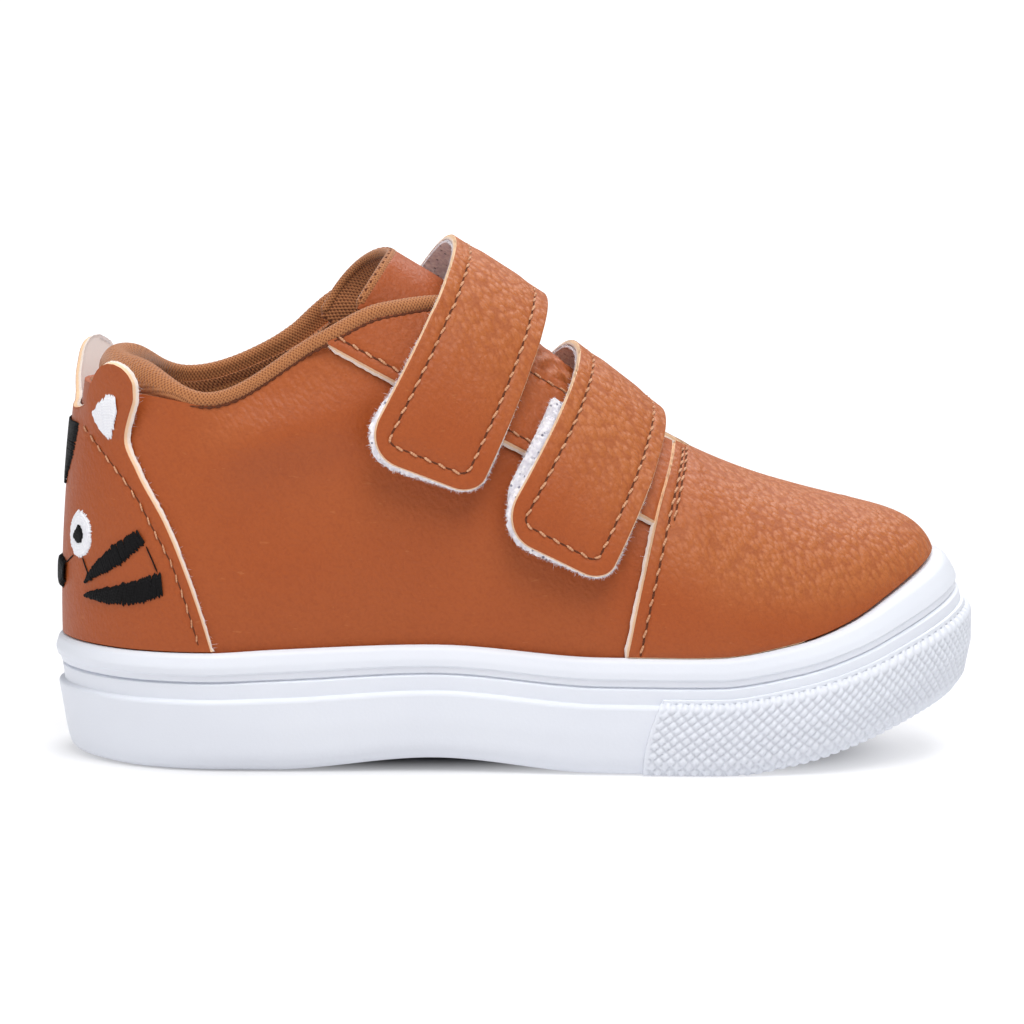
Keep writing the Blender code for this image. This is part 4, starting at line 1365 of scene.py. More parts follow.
@dataclass
class Sole(Part):
    """The moulded cup with its bead, groove and ledge, and the knurled toe bumper round its front."""

    stations: int = 170
    tread_columns: int = 49
    tread_depth: float = 0.7
    tread_pitch: float = 6.4
    tread_zigzag: float = 7.0
    tread_reach: float = 3.2
    tread_clear: Pair = (3.0, 4.6)
    tread_narrow: Pair = (14.0, 20.0)
    tread_flank: Pair = (0.35, 0.75)
    knurl_pitch: Pair = (2.1, 1.83)
    knurl_steps: int = 8
    knurl_height: float = 0.42
    knurl_clear: Pair = (0.45, 0.9)
    knurl_tall: float = 21.0
    knurl_flat: float = 1.8
    knurl_sunk: float = 0.6
    bumper_raise: float = 0.55
    bumper_foot: float = 17.2
    bumper_top: float = 20.4
    bumper_bend: float = 2.2
    bumper_middle: Triple = (20.0, 0.0, 15.0)
    bumper_band: Pair = (0.004, 0.652)
    round_off: float = 0.004
    side: Table = Table(("height", "heel", "flank", "toe"), (
        (0.0, -4.4, -3.2, -5.4), (0.012, -3.3, -2.0, -4.2), (0.04, -2.8, -1.4, -3.4),
        (0.12, -2.2, -0.5, -2.1), (0.36, -1.3, 0.0, -1.1), (0.57, -0.5, 0.0, -1.2),
        (0.59, -0.6, -0.15, -1.4), (0.604, -1.5, -1.15, -2.2), (0.735, -1.1, -1.15, -2.8),
        (0.75, -1.9, -1.95, -3.7), (0.762, -0.9, -1.35, -3.3), (0.812, -0.6, -1.25, -3.4),
        (0.824, -0.2, -0.9, -3.2), (0.88, 0.1, -0.95, -3.8), (0.97, -0.4, -1.6, -5.1),
        (1.0, -1.2, -2.5, -6.2),
    ))
    rings: tuple[tuple[float, float, int], ...] = (
        (0.0, 0.1, 9), (0.1, 0.56, 10), (0.56, 0.62, 18), (0.62, 0.73, 4),
        (0.73, 0.77, 18), (0.77, 0.805, 3), (0.805, 0.835, 9), (0.835, 1.0, 13),
    )
    lip_drop: float = 0.2

    def outset(self, height: Number, x: Number) -> Array:
        """How far the side stands outside the plan: the table's lines with their corners rounded.

        Args:
            height: Shares of the height from tread to rim.
            x: Places along the sole.

        Returns:
            The outsets.
        """
        fine = np.linspace(0, 1, 801)
        spread = np.arange(-24, 25) / 800
        weight = np.exp(-((spread / self.round_off) ** 2))
        weight /= weight.sum()
        zones = []
        for name in ("heel", "flank", "toe"):
            line = np.pad(self.side.lines(name, fine), 24, mode="edge")
            zones.append(np.interp(height, fine, np.convolve(line, weight, mode="valid")))
        return self.last.by_zone(x, *zones)

    def point(self, turn: Number, height: Number, raised: float = 0.0) -> Array:
        """Points of the side, by turn and share of the height from tread to rim.

        Args:
            turn: Turns.
            height: Shares of the height.
            raised: How far outside the side.

        Returns:
            The points.
        """
        turn, height = np.broadcast_arrays(turn, height)
        x = self.last.x_of_turn(np.mod(turn, 2.0))
        flat = self.last.plan(turn, self.outset(height, x) + raised)
        z = self.last.tread(x) + height * (self.last.rim(x) - self.last.tread(x))
        return np.concatenate([flat, z[..., None]], -1)

    def build_cup(self) -> None:
        """The cup: rings up the side, over the rim and down inside, and a floor and a tread across."""
        last = self.last
        half = last.half_turns(self.stations)
        turn = last.all_round(half)
        x = last.x_of_turn(np.mod(turn, 2.0))
        height = np.unique(np.concatenate([np.linspace(*ring) for ring in self.rings]))
        side = self.point(turn[None], height[:, None])
        inner = last.plan(turn, last.by_zone(x, *last.rim_inside))
        lip = np.column_stack([inner, last.rim(x) - self.lip_drop])
        foot = np.column_stack([inner, last.rim(x) - last.cup_depth])
        rings = np.concatenate([side, lip[None], foot[None]])
        there, back = rings[:, :len(half)], rings[:, :len(half) - 2:-1]
        floor = np.stack([there[-1], back[-1]], 1)
        share = np.linspace(0, 1, self.tread_columns)[None, :, None]
        bottom = there[0][:, None] + (back[0] - there[0])[:, None] * share
        bottom[..., 2] += self.tread_grooves(bottom)
        cup, _ = Shape.join(Shape.grid(rings), Shape.grid(floor), Shape.grid(bottom)).weld()
        cup.piece("sole_cup", self.finishes.rubber, Slot.RUBBER, "sole", sharp=62.0)

    def tread_grooves(self, bottom: Array) -> Array:
        """Shallow zigzag grooves across the tread, which keep clear of its edge.

        Args:
            bottom: The tread's grid.

        Returns:
            How far each point is lifted.
        """
        x, y = bottom[..., 0], bottom[..., 1]
        width = np.abs(bottom[:, -1:, 1] - bottom[:, :1, 1])
        inside = np.minimum(np.abs(y - bottom[:, :1, 1]), np.abs(y - bottom[:, -1:, 1]))
        clear = ease(*self.tread_clear, inside) * ease(*self.tread_narrow, width)
        zigzag = np.abs(np.mod(y / self.tread_zigzag, 1.0) - 0.5) * self.tread_reach
        wave = np.cos(2 * np.pi * (x / self.tread_pitch + zigzag))
        return self.tread_depth * clear * ease(*self.tread_flank, wave)

    def build_bumper(self) -> None:
        """The bumper: a raised band round the toe with a lattice of small diamonds on it.

        The grid's lines are a whole part of the lattice's pitch apart, so every diamond is cut the same.
        """
        last, steps = self.last, self.knurl_steps
        low, high = self.bumper_band
        start = float(last.turn_of_x(self.bumper_foot))
        wide, tall = (pitch / steps for pitch in self.knurl_pitch)
        rows = int((high - low) * self.knurl_tall / tall) + 1
        half = travelled(last.outline(np.linspace(start, 1, 400)))[-1]
        columns = int(half / wide) + 1
        height = np.linspace(low, high, rows)[:, None]
        bend = (height / high) ** self.bumper_bend
        rear = last.turn_of_x(self.bumper_foot + (self.bumper_top - self.bumper_foot) * bend)
        share = last.all_round((last.half_turns(columns, start) - start) / (1 - start))[None]
        base = self.point(rear + (1 - rear) * share, height, SEAT)
        normal = surface_normals(base, self.bumper_middle)
        along, up = np.arange(2 * columns - 1)[None] - columns + 1, np.arange(rows)[:, None]
        diamonds = np.abs(np.cos(np.pi * (along + up) / steps) * np.cos(np.pi * (along - up) / steps))
        clear = ease(*self.knurl_clear, (columns - 1 - np.abs(along)) * wide)
        clear = clear * ease(*self.knurl_clear, (rows - 1 - up) * tall)
        relief = self.knurl_height * (np.minimum(1.0, self.knurl_flat * diamonds) - self.knurl_sunk) * clear
        band = panel(base, normal, self.bumper_raise, MOULDED_EDGE, relief)
        band.points[:, 2] = np.maximum(band.points[:, 2], 0.0)
        band.piece("toe_bumper", self.finishes.rubber, Slot.RUBBER, sharp=75.0)

    def build(self) -> None:
        """Makes the cup and the bumper."""
        self.build_cup()
        self.build_bumper()


@dataclass
class Insole(Part):
    """The footbed, dished a little under heel and ball."""

    thickness: float = 2.6
    clear: float = 0.8
    dish: float = 0.7
    lift: float = 0.3
    spread: float = 0.5
    flat_end: float = 0.15
    stations: int = 90
    columns: int = 25

    def build(self) -> None:
        """A sheet between the two sides of the upper's foot edge."""
        turn = self.last.half_turns(self.stations)
        inward = self.last.wall_thickness + self.clear
        lateral, medial = self.last.feather(turn, inward), self.last.feather(2 - turn, inward)
        share = np.linspace(0, 1, self.columns)[None, :, None]
        flat = lateral[:, None] + (medial - lateral)[:, None] * share
        x = self.last.x_of_turn(turn)[:, None] + 0 * flat[..., 0]
        z = self.last.rim(x) - self.last.cup_depth + self.lift
        base = np.concatenate([flat, z[..., None]], -1)
        normal = np.zeros_like(base) + (0.0, 0.0, 1.0)
        across = 4 * share[..., 0] * (1 - share[..., 0])
        ends = ease(0.0, self.flat_end, turn)[:, None], ease(1.0, 1 - self.flat_end, turn)[:, None]
        dish = -self.dish * across * ends[0] * ends[1]
        bed = panel(base, normal, self.thickness, FELT_EDGE, dish, self.spread, chart=flat)
        bed.piece("footbed", self.finishes.footbed, Slot.FLEECE, "insole")


@dataclass
class Upper(Part):
    """The quarters' leather and the knit lining inside it."""

    leather_thickness: float = 0.9
    lining_thickness: float = 0.62
    lining_gap: float = 0.04
    collar_padding: float = 0.5
    padding_rise: Pair = (0.5, 0.86)
    padding_zone: Pair = (-12.0, -26.0)
    tucked: Pair = (-0.4, -0.15)
    stations: int = 120
    rows: int = 36
    heel_zone: Pair = (-60.0, -49.0)
    crease_low: Pair = (0.05, 0.2)
    crease_high: Pair = (1.0, 0.9)
    grain: Pair = (0.2, 0.2)
    grain_and_highlight_slope: Pair = (0.2, 0.8)
    # A band under the collar with deeper pebbles, painted paler: a painted highlight
    collar_highlight: float = 0.22
    collar_highlight_rise: Pair = (0.74, 0.9)
    collar_highlight_zone: tuple[float, float, float, float] = (-62.0, -54.0, -24.0, -36.0)
    creases: Table = Table(("x", "z", "run", "length", "width", "depth"), (
        (-47.0, 56.8, 15.0, 18.0, 5.4, -2.0),
        (-40.0, 44.0, 15.0, 18.0, 8.0, 0.6),
        (-29.0, 56.0, 62.0, 9.0, 4.0, 0.8),
        (2.0, 33.0, 74.0, 9.0, 3.2, 0.22),
        (8.0, 34.0, 76.0, 8.0, 3.0, -0.18),
        (-14.0, 34.0, 40.0, 14.0, 5.0, 0.16),
    ))

    def creased(self, points: Array) -> Array:
        """Soft troughs and ridges: bells along and across each crease's run, seen from the side.

        Args:
            points: Points of the wall.

        Returns:
            How far each one moves along its normal.
        """
        deep = np.zeros(points.shape[:-1])
        for x, z, run, length, width, depth in self.creases.rows:
            c, s = np.cos(np.radians(run)), np.sin(np.radians(run))
            dx, dz = points[..., 0] - x, points[..., 2] - z
            along, across = dx * c + dz * s, dz * c - dx * s
            deep = deep - depth * swell(along, 0.0, length) * swell(across, 0.0, width)
        return deep * ease(*self.heel_zone, points[..., 0])

    def build(self) -> None:
        """Both layers, open at the collar, the throat and below, and closed along the ridge."""
        last = self.last
        turn = last.all_round(last.half_turns(self.stations))[None]
        rise = np.concatenate([self.tucked, np.linspace(0, 1, self.rows)])[:, None]
        wall, normal = last.wall(turn, rise), last.normal(turn, rise)
        crease = self.creased(wall) * ease(*self.crease_low, rise) * ease(*self.crease_high, rise)
        wall = wall + normal * crease[..., None]
        x = wall[..., 0]
        # Deeper pebbles and a painted highlight: on leather that faces up, and in a band under the collar
        rear, full, front, fade = self.collar_highlight_zone
        collar_highlight = ease(*self.collar_highlight_rise, rise) * ease(rear, full, x) * ease(front, fade, x)
        grain = grain_and_highlight_by_slope(normal, self.grain, self.grain_and_highlight_slope) + self.collar_highlight * collar_highlight
        base = wall - normal * self.leather_thickness
        shell = panel(base, normal, self.leather_thickness, THIN_EDGE, grain=grain)
        shell.piece("quarters", self.finishes.leather, Slot.LEATHER, "upper")
        inner = wall - normal * (self.leather_thickness + self.lining_gap)
        padding = self.collar_padding * ease(*self.padding_rise, rise) * ease(*self.padding_zone, x)
        knit = panel(inner, -normal, self.lining_thickness, THIN_EDGE, padding, chart=flattened(inner))
        knit.piece("lining", self.finishes.lining, Slot.KNIT)


@dataclass
class Vamp(Part):
    """The toe panel, lapped over the quarters and facings and sewn along its rear edge."""

    thickness: float = 1.2
    lift: float = 0.35
    lift_zone: Pair = (44.0, 26.0)
    stitch_inset: float = 2.0
    second_row: float = 0.9
    second_row_foot: float = 43.0
    fibres: Pair = (0.08, 0.45)
    fibre_drop: float = 0.1
    grain: Pair = (0.18, 0.82)
    grain_and_highlight_slope: Pair = (0.08, 0.5)
    grain_and_highlight_zone: Pair = (16.0, 40.0)
    rows: int = 56
    columns: Packing = (84, 0.06, 36)

    def build(self) -> None:
        """The panel from the sole's rim to the ridge, back to its slanting rear edge."""
        last = self.last
        rise = np.linspace(0, 1, self.rows)[:, None]
        start = last.vamp_turn(rise)
        share = last.all_round(from_edge(*self.columns))[None]
        turn = start + (1 - start) * share
        wall, normal = last.wall(turn, rise), last.normal(turn, rise)
        lift = GAP + self.lift * ease(*self.lift_zone, wall[..., 0])
        base = wall + normal * lift[..., None]
        face = np.concatenate([base + normal * (self.thickness - SEAT), normal], -1)
        rows_of_stitches = []
        for way in (1, -1):
            grid = face[:, ::way].swapaxes(0, 1)
            row = line_inside(grid, self.stitch_inset)
            second = line_inside(grid, self.stitch_inset + self.second_row)
            second = second[second[:, 2] > self.second_row_foot]
            rows_of_stitches += [row[:-2], second[:-1]]
            edge, inside, up = base[:, ::way][:, 0], base[:, ::way][:, 1], normal[:, ::way][:, 0]
            self.fuzz.grow(edge - up * self.fibre_drop, edge - inside, up, *self.fibres)
        relief = self.sewing.sew_rows(face[..., :3], *rows_of_stitches)
        # Deeper pebbles and a painted highlight on leather that faces up, more so towards the toe
        high = ease(*self.grain_and_highlight_slope, normal[..., 2])
        front = ease(*self.grain_and_highlight_zone, wall[..., 0])
        plain, on_top = self.grain
        grain = plain + on_top * high * (0.6 + 0.4 * front)
        at_rear = np.minimum(share, 2 - share) + 0 * rise
        spread = np.where(at_rear < 0.3, 1.0 - 0.7 * ease(0.97, 0.99, rise), 0.05)
        made = panel(base, normal, self.thickness, RAW_EDGE, relief, spread, grain=grain)
        made.piece("vamp_panel", self.finishes.leather, Slot.LEATHER, "vamp")


@dataclass
class Facing(Part):
    """The panel along one side of the throat, sewn along both its edges."""

    side: Side
    thickness: float = 1.2
    lift: float = 0.4
    rear: float = -36.7
    clear: float = 0.0025
    stitch_inset: float = 1.9
    upper_row_start: float = -12.0
    fibres: Pair = (0.14, 0.45)
    grain: Pair = (0.2, 0.35)
    grain_and_highlight_slope: Pair = (0.2, 0.8)
    rows: Packing = (18, 0.5, 9)
    columns: int = 90
    lower_edge: Table = Table(("x", "z"), (
        (-39.0, 73.8), (-22.0, 64.6), (-6.0, 56.0), (17.0, 43.6), (27.0, 38.0),
    ))

    def build(self) -> None:
        """The panel from its lower edge up to the throat, from the collar to the vamp's rear edge."""
        last = self.last
        along = np.linspace(0, 1, self.columns)[None]
        up = both_edges(*self.rows)[:, None]
        rear = last.side_turn(self.rear, 0.9)
        rise = 0.5 + 0.5 * up + 0 * along
        for _ in range(6):
            front = last.vamp_turn(rise[:, -1:]) - self.clear
            turn = rear + (front - rear) * along
            low_z = self.lower_edge.read("z", last.wall(turn, rise)[..., 0])
            low = np.minimum(last.rise_at(turn, low_z), 0.998)
            rise = low + (1 - low) * up
        if self.side is Side.MEDIAL:
            turn = 2 - turn
        wall, normal = last.wall(turn, rise), last.normal(turn, rise)
        base = wall + normal * self.lift
        face = np.concatenate([base + normal * (self.thickness - SEAT), normal], -1)
        lower = line_inside(face, self.stitch_inset)[2:-4]
        upper = line_inside(face[::-1], self.stitch_inset)[:-4]
        upper = upper[upper[:, 0] > self.upper_row_start]
        relief = self.sewing.sew_rows(face[..., :3], lower, upper)
        self.fuzz.grow(base[0], base[0] - base[1], normal[0], *self.fibres)
        # Deeper pebbles and a painted highlight where the facing faces up
        grain = grain_and_highlight_by_slope(normal, self.grain, self.grain_and_highlight_slope)
        spread = 0.2 + 0.6 * (up < 0.5) * ease(0.0, 0.03, along)
        made = panel(base, normal, self.thickness, RAW_EDGE, relief, spread, grain=grain)
        name = self.side.name.lower()
        made.piece(f"facing_{name}", self.finishes.leather, Slot.LEATHER, f"eyestay_{name}")


RUNG = ("from_degrees", "from_z", "to_degrees", "to_z")


@dataclass
class HeelPanel(Part):
    """The heel's panel with two free ears, and the animal's face embroidered on it."""

    thickness: float = 1.2
    dip: float = 1.4
    flare: float = 0.22
    flare_foot: float = 56.0
    flare_zone: Pair = (12.0, 30.0)
    body_top: float = 61.0
    inner_ear_flare: float = 0.3
    inner_ear_rise: float = 1.0
    outer: Table = Table(("z", "outer"), (
        (20.0, 89.7), (30.0, 81.8), (42.0, 69.6), (51.0, 55.5), (56.0, 49.0), (59.0, 51.0), (61.0, 53.0),
    ))
    ear: Table = Table(("z", "inner", "outer"), (
        (61.0, 24.0, 53.0), (63.0, 28.0, 54.6), (65.0, 32.0, 54.6), (66.8, 35.6, 52.6),
        (67.9, 39.2, 49.4), (68.4, 42.6, 46.0),
    ))
    seam: Table = Table(("z", "degrees"), (
        (21.6, 84.4), (27.0, 80.4), (31.2, 76.9), (35.0, 73.4), (38.5, 68.8), (42.0, 63.6), (47.0, 55.4),
        (50.0, 47.8), (52.2, 41.0), (55.2, 30.0), (57.4, 20.4),
    ))
    seam_weight: float = 0.7
    fibres: Pair = (0.055, 0.6)
    grain: float = 0.16
    thread_pitch: float = 0.24
    thread_sunk: float = 0.1
    foot: float = 20.0
    body_rows: int = 64
    ear_rows: int = 34
    ear_columns: Packing = (15, 0.4, 10)
    middle_columns: int = 44
    upper_whisker: Table = Table(RUNG, (
        (30.5, 31.3, 31.0, 31.0), (35.5, 34.0, 38.0, 32.2), (45.5, 37.8, 49.0, 34.3),
        (57.0, 40.8, 62.0, 38.6),
    ))
    lower_whisker: Table = Table(RUNG, (
        (30.5, 29.0, 31.0, 28.6), (44.0, 30.7, 42.0, 27.8), (56.0, 32.2, 54.0, 27.9),
        (68.5, 34.2, 69.5, 29.6),
    ))
    nose: Table = Table(RUNG, (
        (-11.0, 33.4, -10.0, 29.8), (-5.0, 34.0, -4.5, 28.5), (5.0, 34.0, 4.5, 28.5),
        (11.0, 33.4, 10.0, 29.8),
    ))
    stripe: Table = Table(RUNG, (
        (-17.0, 57.3, 17.0, 57.3), (-15.5, 54.6, 15.5, 54.6), (-12.0, 51.6, 12.0, 51.6),
        (-6.0, 48.8, 6.0, 48.8), (-0.8, 46.6, 0.8, 46.6),
    ))
    inner_ear: Table = Table(RUNG, (
        (32.3, 60.0, 32.5, 59.2), (35.0, 61.4, 35.2, 57.0), (38.0, 62.5, 38.6, 55.8),
        (41.0, 63.2, 41.4, 55.4), (43.8, 63.4, 43.8, 57.6), (46.0, 62.9, 46.0, 60.3),
    ))
    pupil: Table = Table(RUNG, (
        (21.0, 38.9, 21.2, 38.0), (22.6, 40.2, 22.8, 37.2), (24.4, 40.8, 24.6, 36.9),
        (26.4, 40.0, 26.4, 37.2), (27.8, 39.2, 27.8, 38.2),
    ))

    def surface(self, degrees: Array, z: Array, height: Number) -> tuple[Array, Array]:
        """Points and normals over the panel's underside, by angle round the heel and height.

        Args:
            degrees: Angles from the heel's back, the lateral side positive.
            z: Heights.
            height: How far off the underside.

        Returns:
            The points and the wall's normals there.
        """
        turn = self.last.heel_turn(degrees)
        rise = self.last.rise_at(turn, z)
        normal = self.last.normal(turn, rise)
        flare = self.flare * np.maximum(z - self.flare_foot, 0) * ease(*self.flare_zone, np.abs(degrees))
        flare = flare * (1 + self.inner_ear_flare * (degrees < 0))
        stand = GAP + flare + height
        return self.last.wall(turn, rise) + normal * stand[..., None], normal

    def build_panel(self) -> None:
        """The panel: rows up the heel, a middle group of columns that ends below, and two ears."""
        low = np.linspace(self.foot, self.body_top, self.body_rows)
        quarter = np.linspace(0, np.pi / 2, self.ear_rows)[1:]
        ear_height = self.ear.rows[-1][0] - self.body_top
        high = self.body_top + ear_height * np.sin(quarter)
        z = np.concatenate([low, high])[:, None]
        in_ear = z > self.body_top
        outer = np.where(in_ear, self.ear.read("outer", z), self.outer.read("outer", z))
        foot = self.ear.rows[0][1] / self.ear.rows[0][2]
        inner = np.where(in_ear, self.ear.read("inner", z), foot * outer)
        ear = inner + (outer - inner) * both_edges(*self.ear_columns)[None]
        middle = inner * np.linspace(-1, 1, self.middle_columns)[None, 1:-1]
        degrees = np.concatenate([-ear[:, ::-1], middle, ear], axis=1)
        x = self.last.x_of_turn(np.mod(self.last.heel_turn(degrees), 2.0))
        height = np.maximum(z, self.last.rim(x) + GAP)
        body = np.clip((z - self.flare_foot) / (self.body_top - self.flare_foot), 0, 1)
        height = height - self.dip * body * np.maximum(1 - (degrees / inner) ** 2, 0)
        ear_share = np.clip((z - self.body_top) / ear_height, 0, 1)
        height = height + self.inner_ear_rise * ear_share * (degrees < 0)
        base, normal = self.surface(degrees, height, 0.0)
        columns, wide = degrees.shape[1], ear.shape[1]
        quad = np.arange((len(z) - 1) * (columns - 1)).reshape(len(z) - 1, columns - 1)
        row, column = quad // (columns - 1), quad % (columns - 1)
        notch = (row >= self.body_rows - 1) & (column >= wide - 1) & (column < columns - wide)
        squashed = (row == 0) & (z[1:2] < self.last.rim(x[:-1, :-1]))
        seams = []
        for side in (1, -1):
            path_z = np.linspace(self.seam.rows[0][0], self.seam.rows[-1][0], 120)
            around = side * self.seam.read("degrees", path_z)
            path, up = self.surface(around, path_z, self.thickness - SEAT)
            self.sewing.sew(path, up, self.seam_weight)
            seams.append(path)
        relief = self.sewing.groove(base + normal * self.thickness, *seams)
        at_sole = z < self.last.rim(x) + 2 * GAP
        spread = np.where(at_sole & (np.abs(degrees) < outer - 1), 0.05, 0.7)
        cut = (notch | squashed).ravel()
        made = panel(base, normal, self.thickness, RAW_EDGE, relief, spread, cut, grain=self.grain)
        made.piece("heel_panel", self.finishes.leather, Slot.LEATHER, "counter")
        for edge, inside in ((0, 1), (-1, -2)):
            self.fuzz.grow(base[:, edge], base[:, edge] - base[:, inside], normal[:, edge], *self.fibres)

    def threads(self, degrees: Array, z: Array, t: Array, lift: float, wide: Number, high: float) -> Shape:
        """Threads side by side, arched off the leather and thin at both ends.

        Args:
            degrees: Angles along each thread.
            z: Heights along each thread.
            t: The share of the way along it, from 0 to 1.
            lift: How far its middle stands off the leather.
            wide: Half the width.
            high: Half the height.

        Returns:
            The threads.
        """
        across = 2 * t - 1
        spine, up = self.surface(degrees, z, self.thickness - self.thread_sunk + lift * dome(across))
        thin = dome(across, 8)
        return strands(spine, up, wide * thin, high * thin)

    def satin(self, rungs: Table, lift: float, side: int, rough: float = 0.32) -> Shape:
        """A patch of satin stitches: threads side by side from one edge of a shape to the other.

        Args:
            rungs: Rows of the two edges' places, as degrees and height.
            lift: How far the patch stands off the leather.
            side: 1 for the lateral side, -1 for the medial.
            rough: How uneven the threads' ends are, in millimetres.

        Returns:
            The threads.
        """
        table = np.array(rungs.rows)
        knots = np.arange(len(table), dtype=float)
        middle = (table[:, 0:2] + table[:, 2:4]) / 2 * (0.41, 1.0)
        run = travelled(middle)
        count = max(int(run[-1] / self.thread_pitch), 4)
        at = np.interp(np.linspace(0, run[-1], count), run, knots)
        ends = np.stack([monotone(at, knots, table[:, k]) for k in range(4)], -1)
        random = np.random.default_rng(len(table) * 31 + side)
        ends = ends + random.normal(0, rough * 0.4, ends.shape) * (2.4, 1.0, 2.4, 1.0)
        t = np.linspace(0, 1, 9)[None]
        degrees = ends[:, :1] + (ends[:, 2:3] - ends[:, :1]) * t
        z = ends[:, 1:2] + (ends[:, 3:4] - ends[:, 1:2]) * t
        return self.threads(side * degrees, z, t, lift, 0.27, 0.18)

    def ring(
        self, centre: Pair, inside: Pair, outside: Pair,
        lift: float, side: int, count: int = 84,
    ) -> Shape:
        """Satin stitches set like rays between two ellipses.

        Args:
            centre: Degrees and height of the middle.
            inside: Half axes of the inner ellipse, in degrees and millimetres.
            outside: Half axes of the outer one.
            lift: How far the ring stands off the leather.
            side: 1 for the lateral side, -1 for the medial.
            count: How many threads.

        Returns:
            The threads.
        """
        random = np.random.default_rng(count)
        angle = np.linspace(0, 2 * np.pi, count, endpoint=False)[:, None]
        t = np.linspace(0, 1, 7)[None]
        reach = 1 + random.normal(0, 0.035, (count, 1))
        size = [inside[k] + (outside[k] * reach - inside[k]) * t for k in (0, 1)]
        degrees = centre[0] + size[0] * np.cos(angle)
        z = centre[1] + size[1] * np.sin(angle)
        return self.threads(side * degrees, z, t, lift, 0.1 + 0.12 * t, 0.16)

    def jump(self, degrees: tuple[float, ...], z: tuple[float, ...], side: int) -> Shape:
        """A thin loose thread from one patch to the next.

        Args:
            degrees: Angles on its way.
            z: Heights on its way.
            side: 1 for the lateral side, -1 for the medial.

        Returns:
            The thread.
        """
        t = np.linspace(0, 1, 15)
        knots = np.linspace(0, 1, len(z))
        around, up_to = np.interp(t, knots, degrees), np.interp(t, knots, z)
        spine, up = self.surface(side * around[None], up_to[None], self.thickness + 0.12 + 0 * t[None])
        thin = np.minimum(1, 8 * np.minimum(t, 1 - t))[None]
        return strands(spine, up, 0.13 * thin, 0.12 * thin)

    def build_face(self) -> None:
        """The animal's face: eyes, nose, whiskers, a stripe on its forehead, and light inner ears."""
        black, white = [self.satin(self.nose, 0.75, 1, 0.2), self.satin(self.stripe, 0.4, 1, 0.35)], []
        for side in (1, -1):
            black += [
                self.satin(self.upper_whisker, 0.42, side),
                self.satin(self.lower_whisker, 0.42, side),
                self.satin(self.pupil, 0.5, side, 0.3),
                self.jump((19.6, 11.0), (35.0, 33.2), side),
                self.jump((27.0, 31.5, 30.6), (35.2, 32.6, 31.4), side),
                self.jump((62.0, 65.0, 67.5), (38.4, 36.0, 33.8), side),
            ]
            white.append(self.ring((24.4, 38.8), (2.2, 1.0), (9.3, 4.15), 0.32, side))
            white.append(self.satin(self.inner_ear, 0.4, side, 0.25))
        Shape.join(*black).piece("face_black", self.finishes.black, Slot.LEATHER)
        Shape.join(*white).piece("face_white", self.finishes.white, Slot.LEATHER)

    def build(self) -> None:
        """Makes the panel and its face."""
        self.build_panel()
        self.build_face()


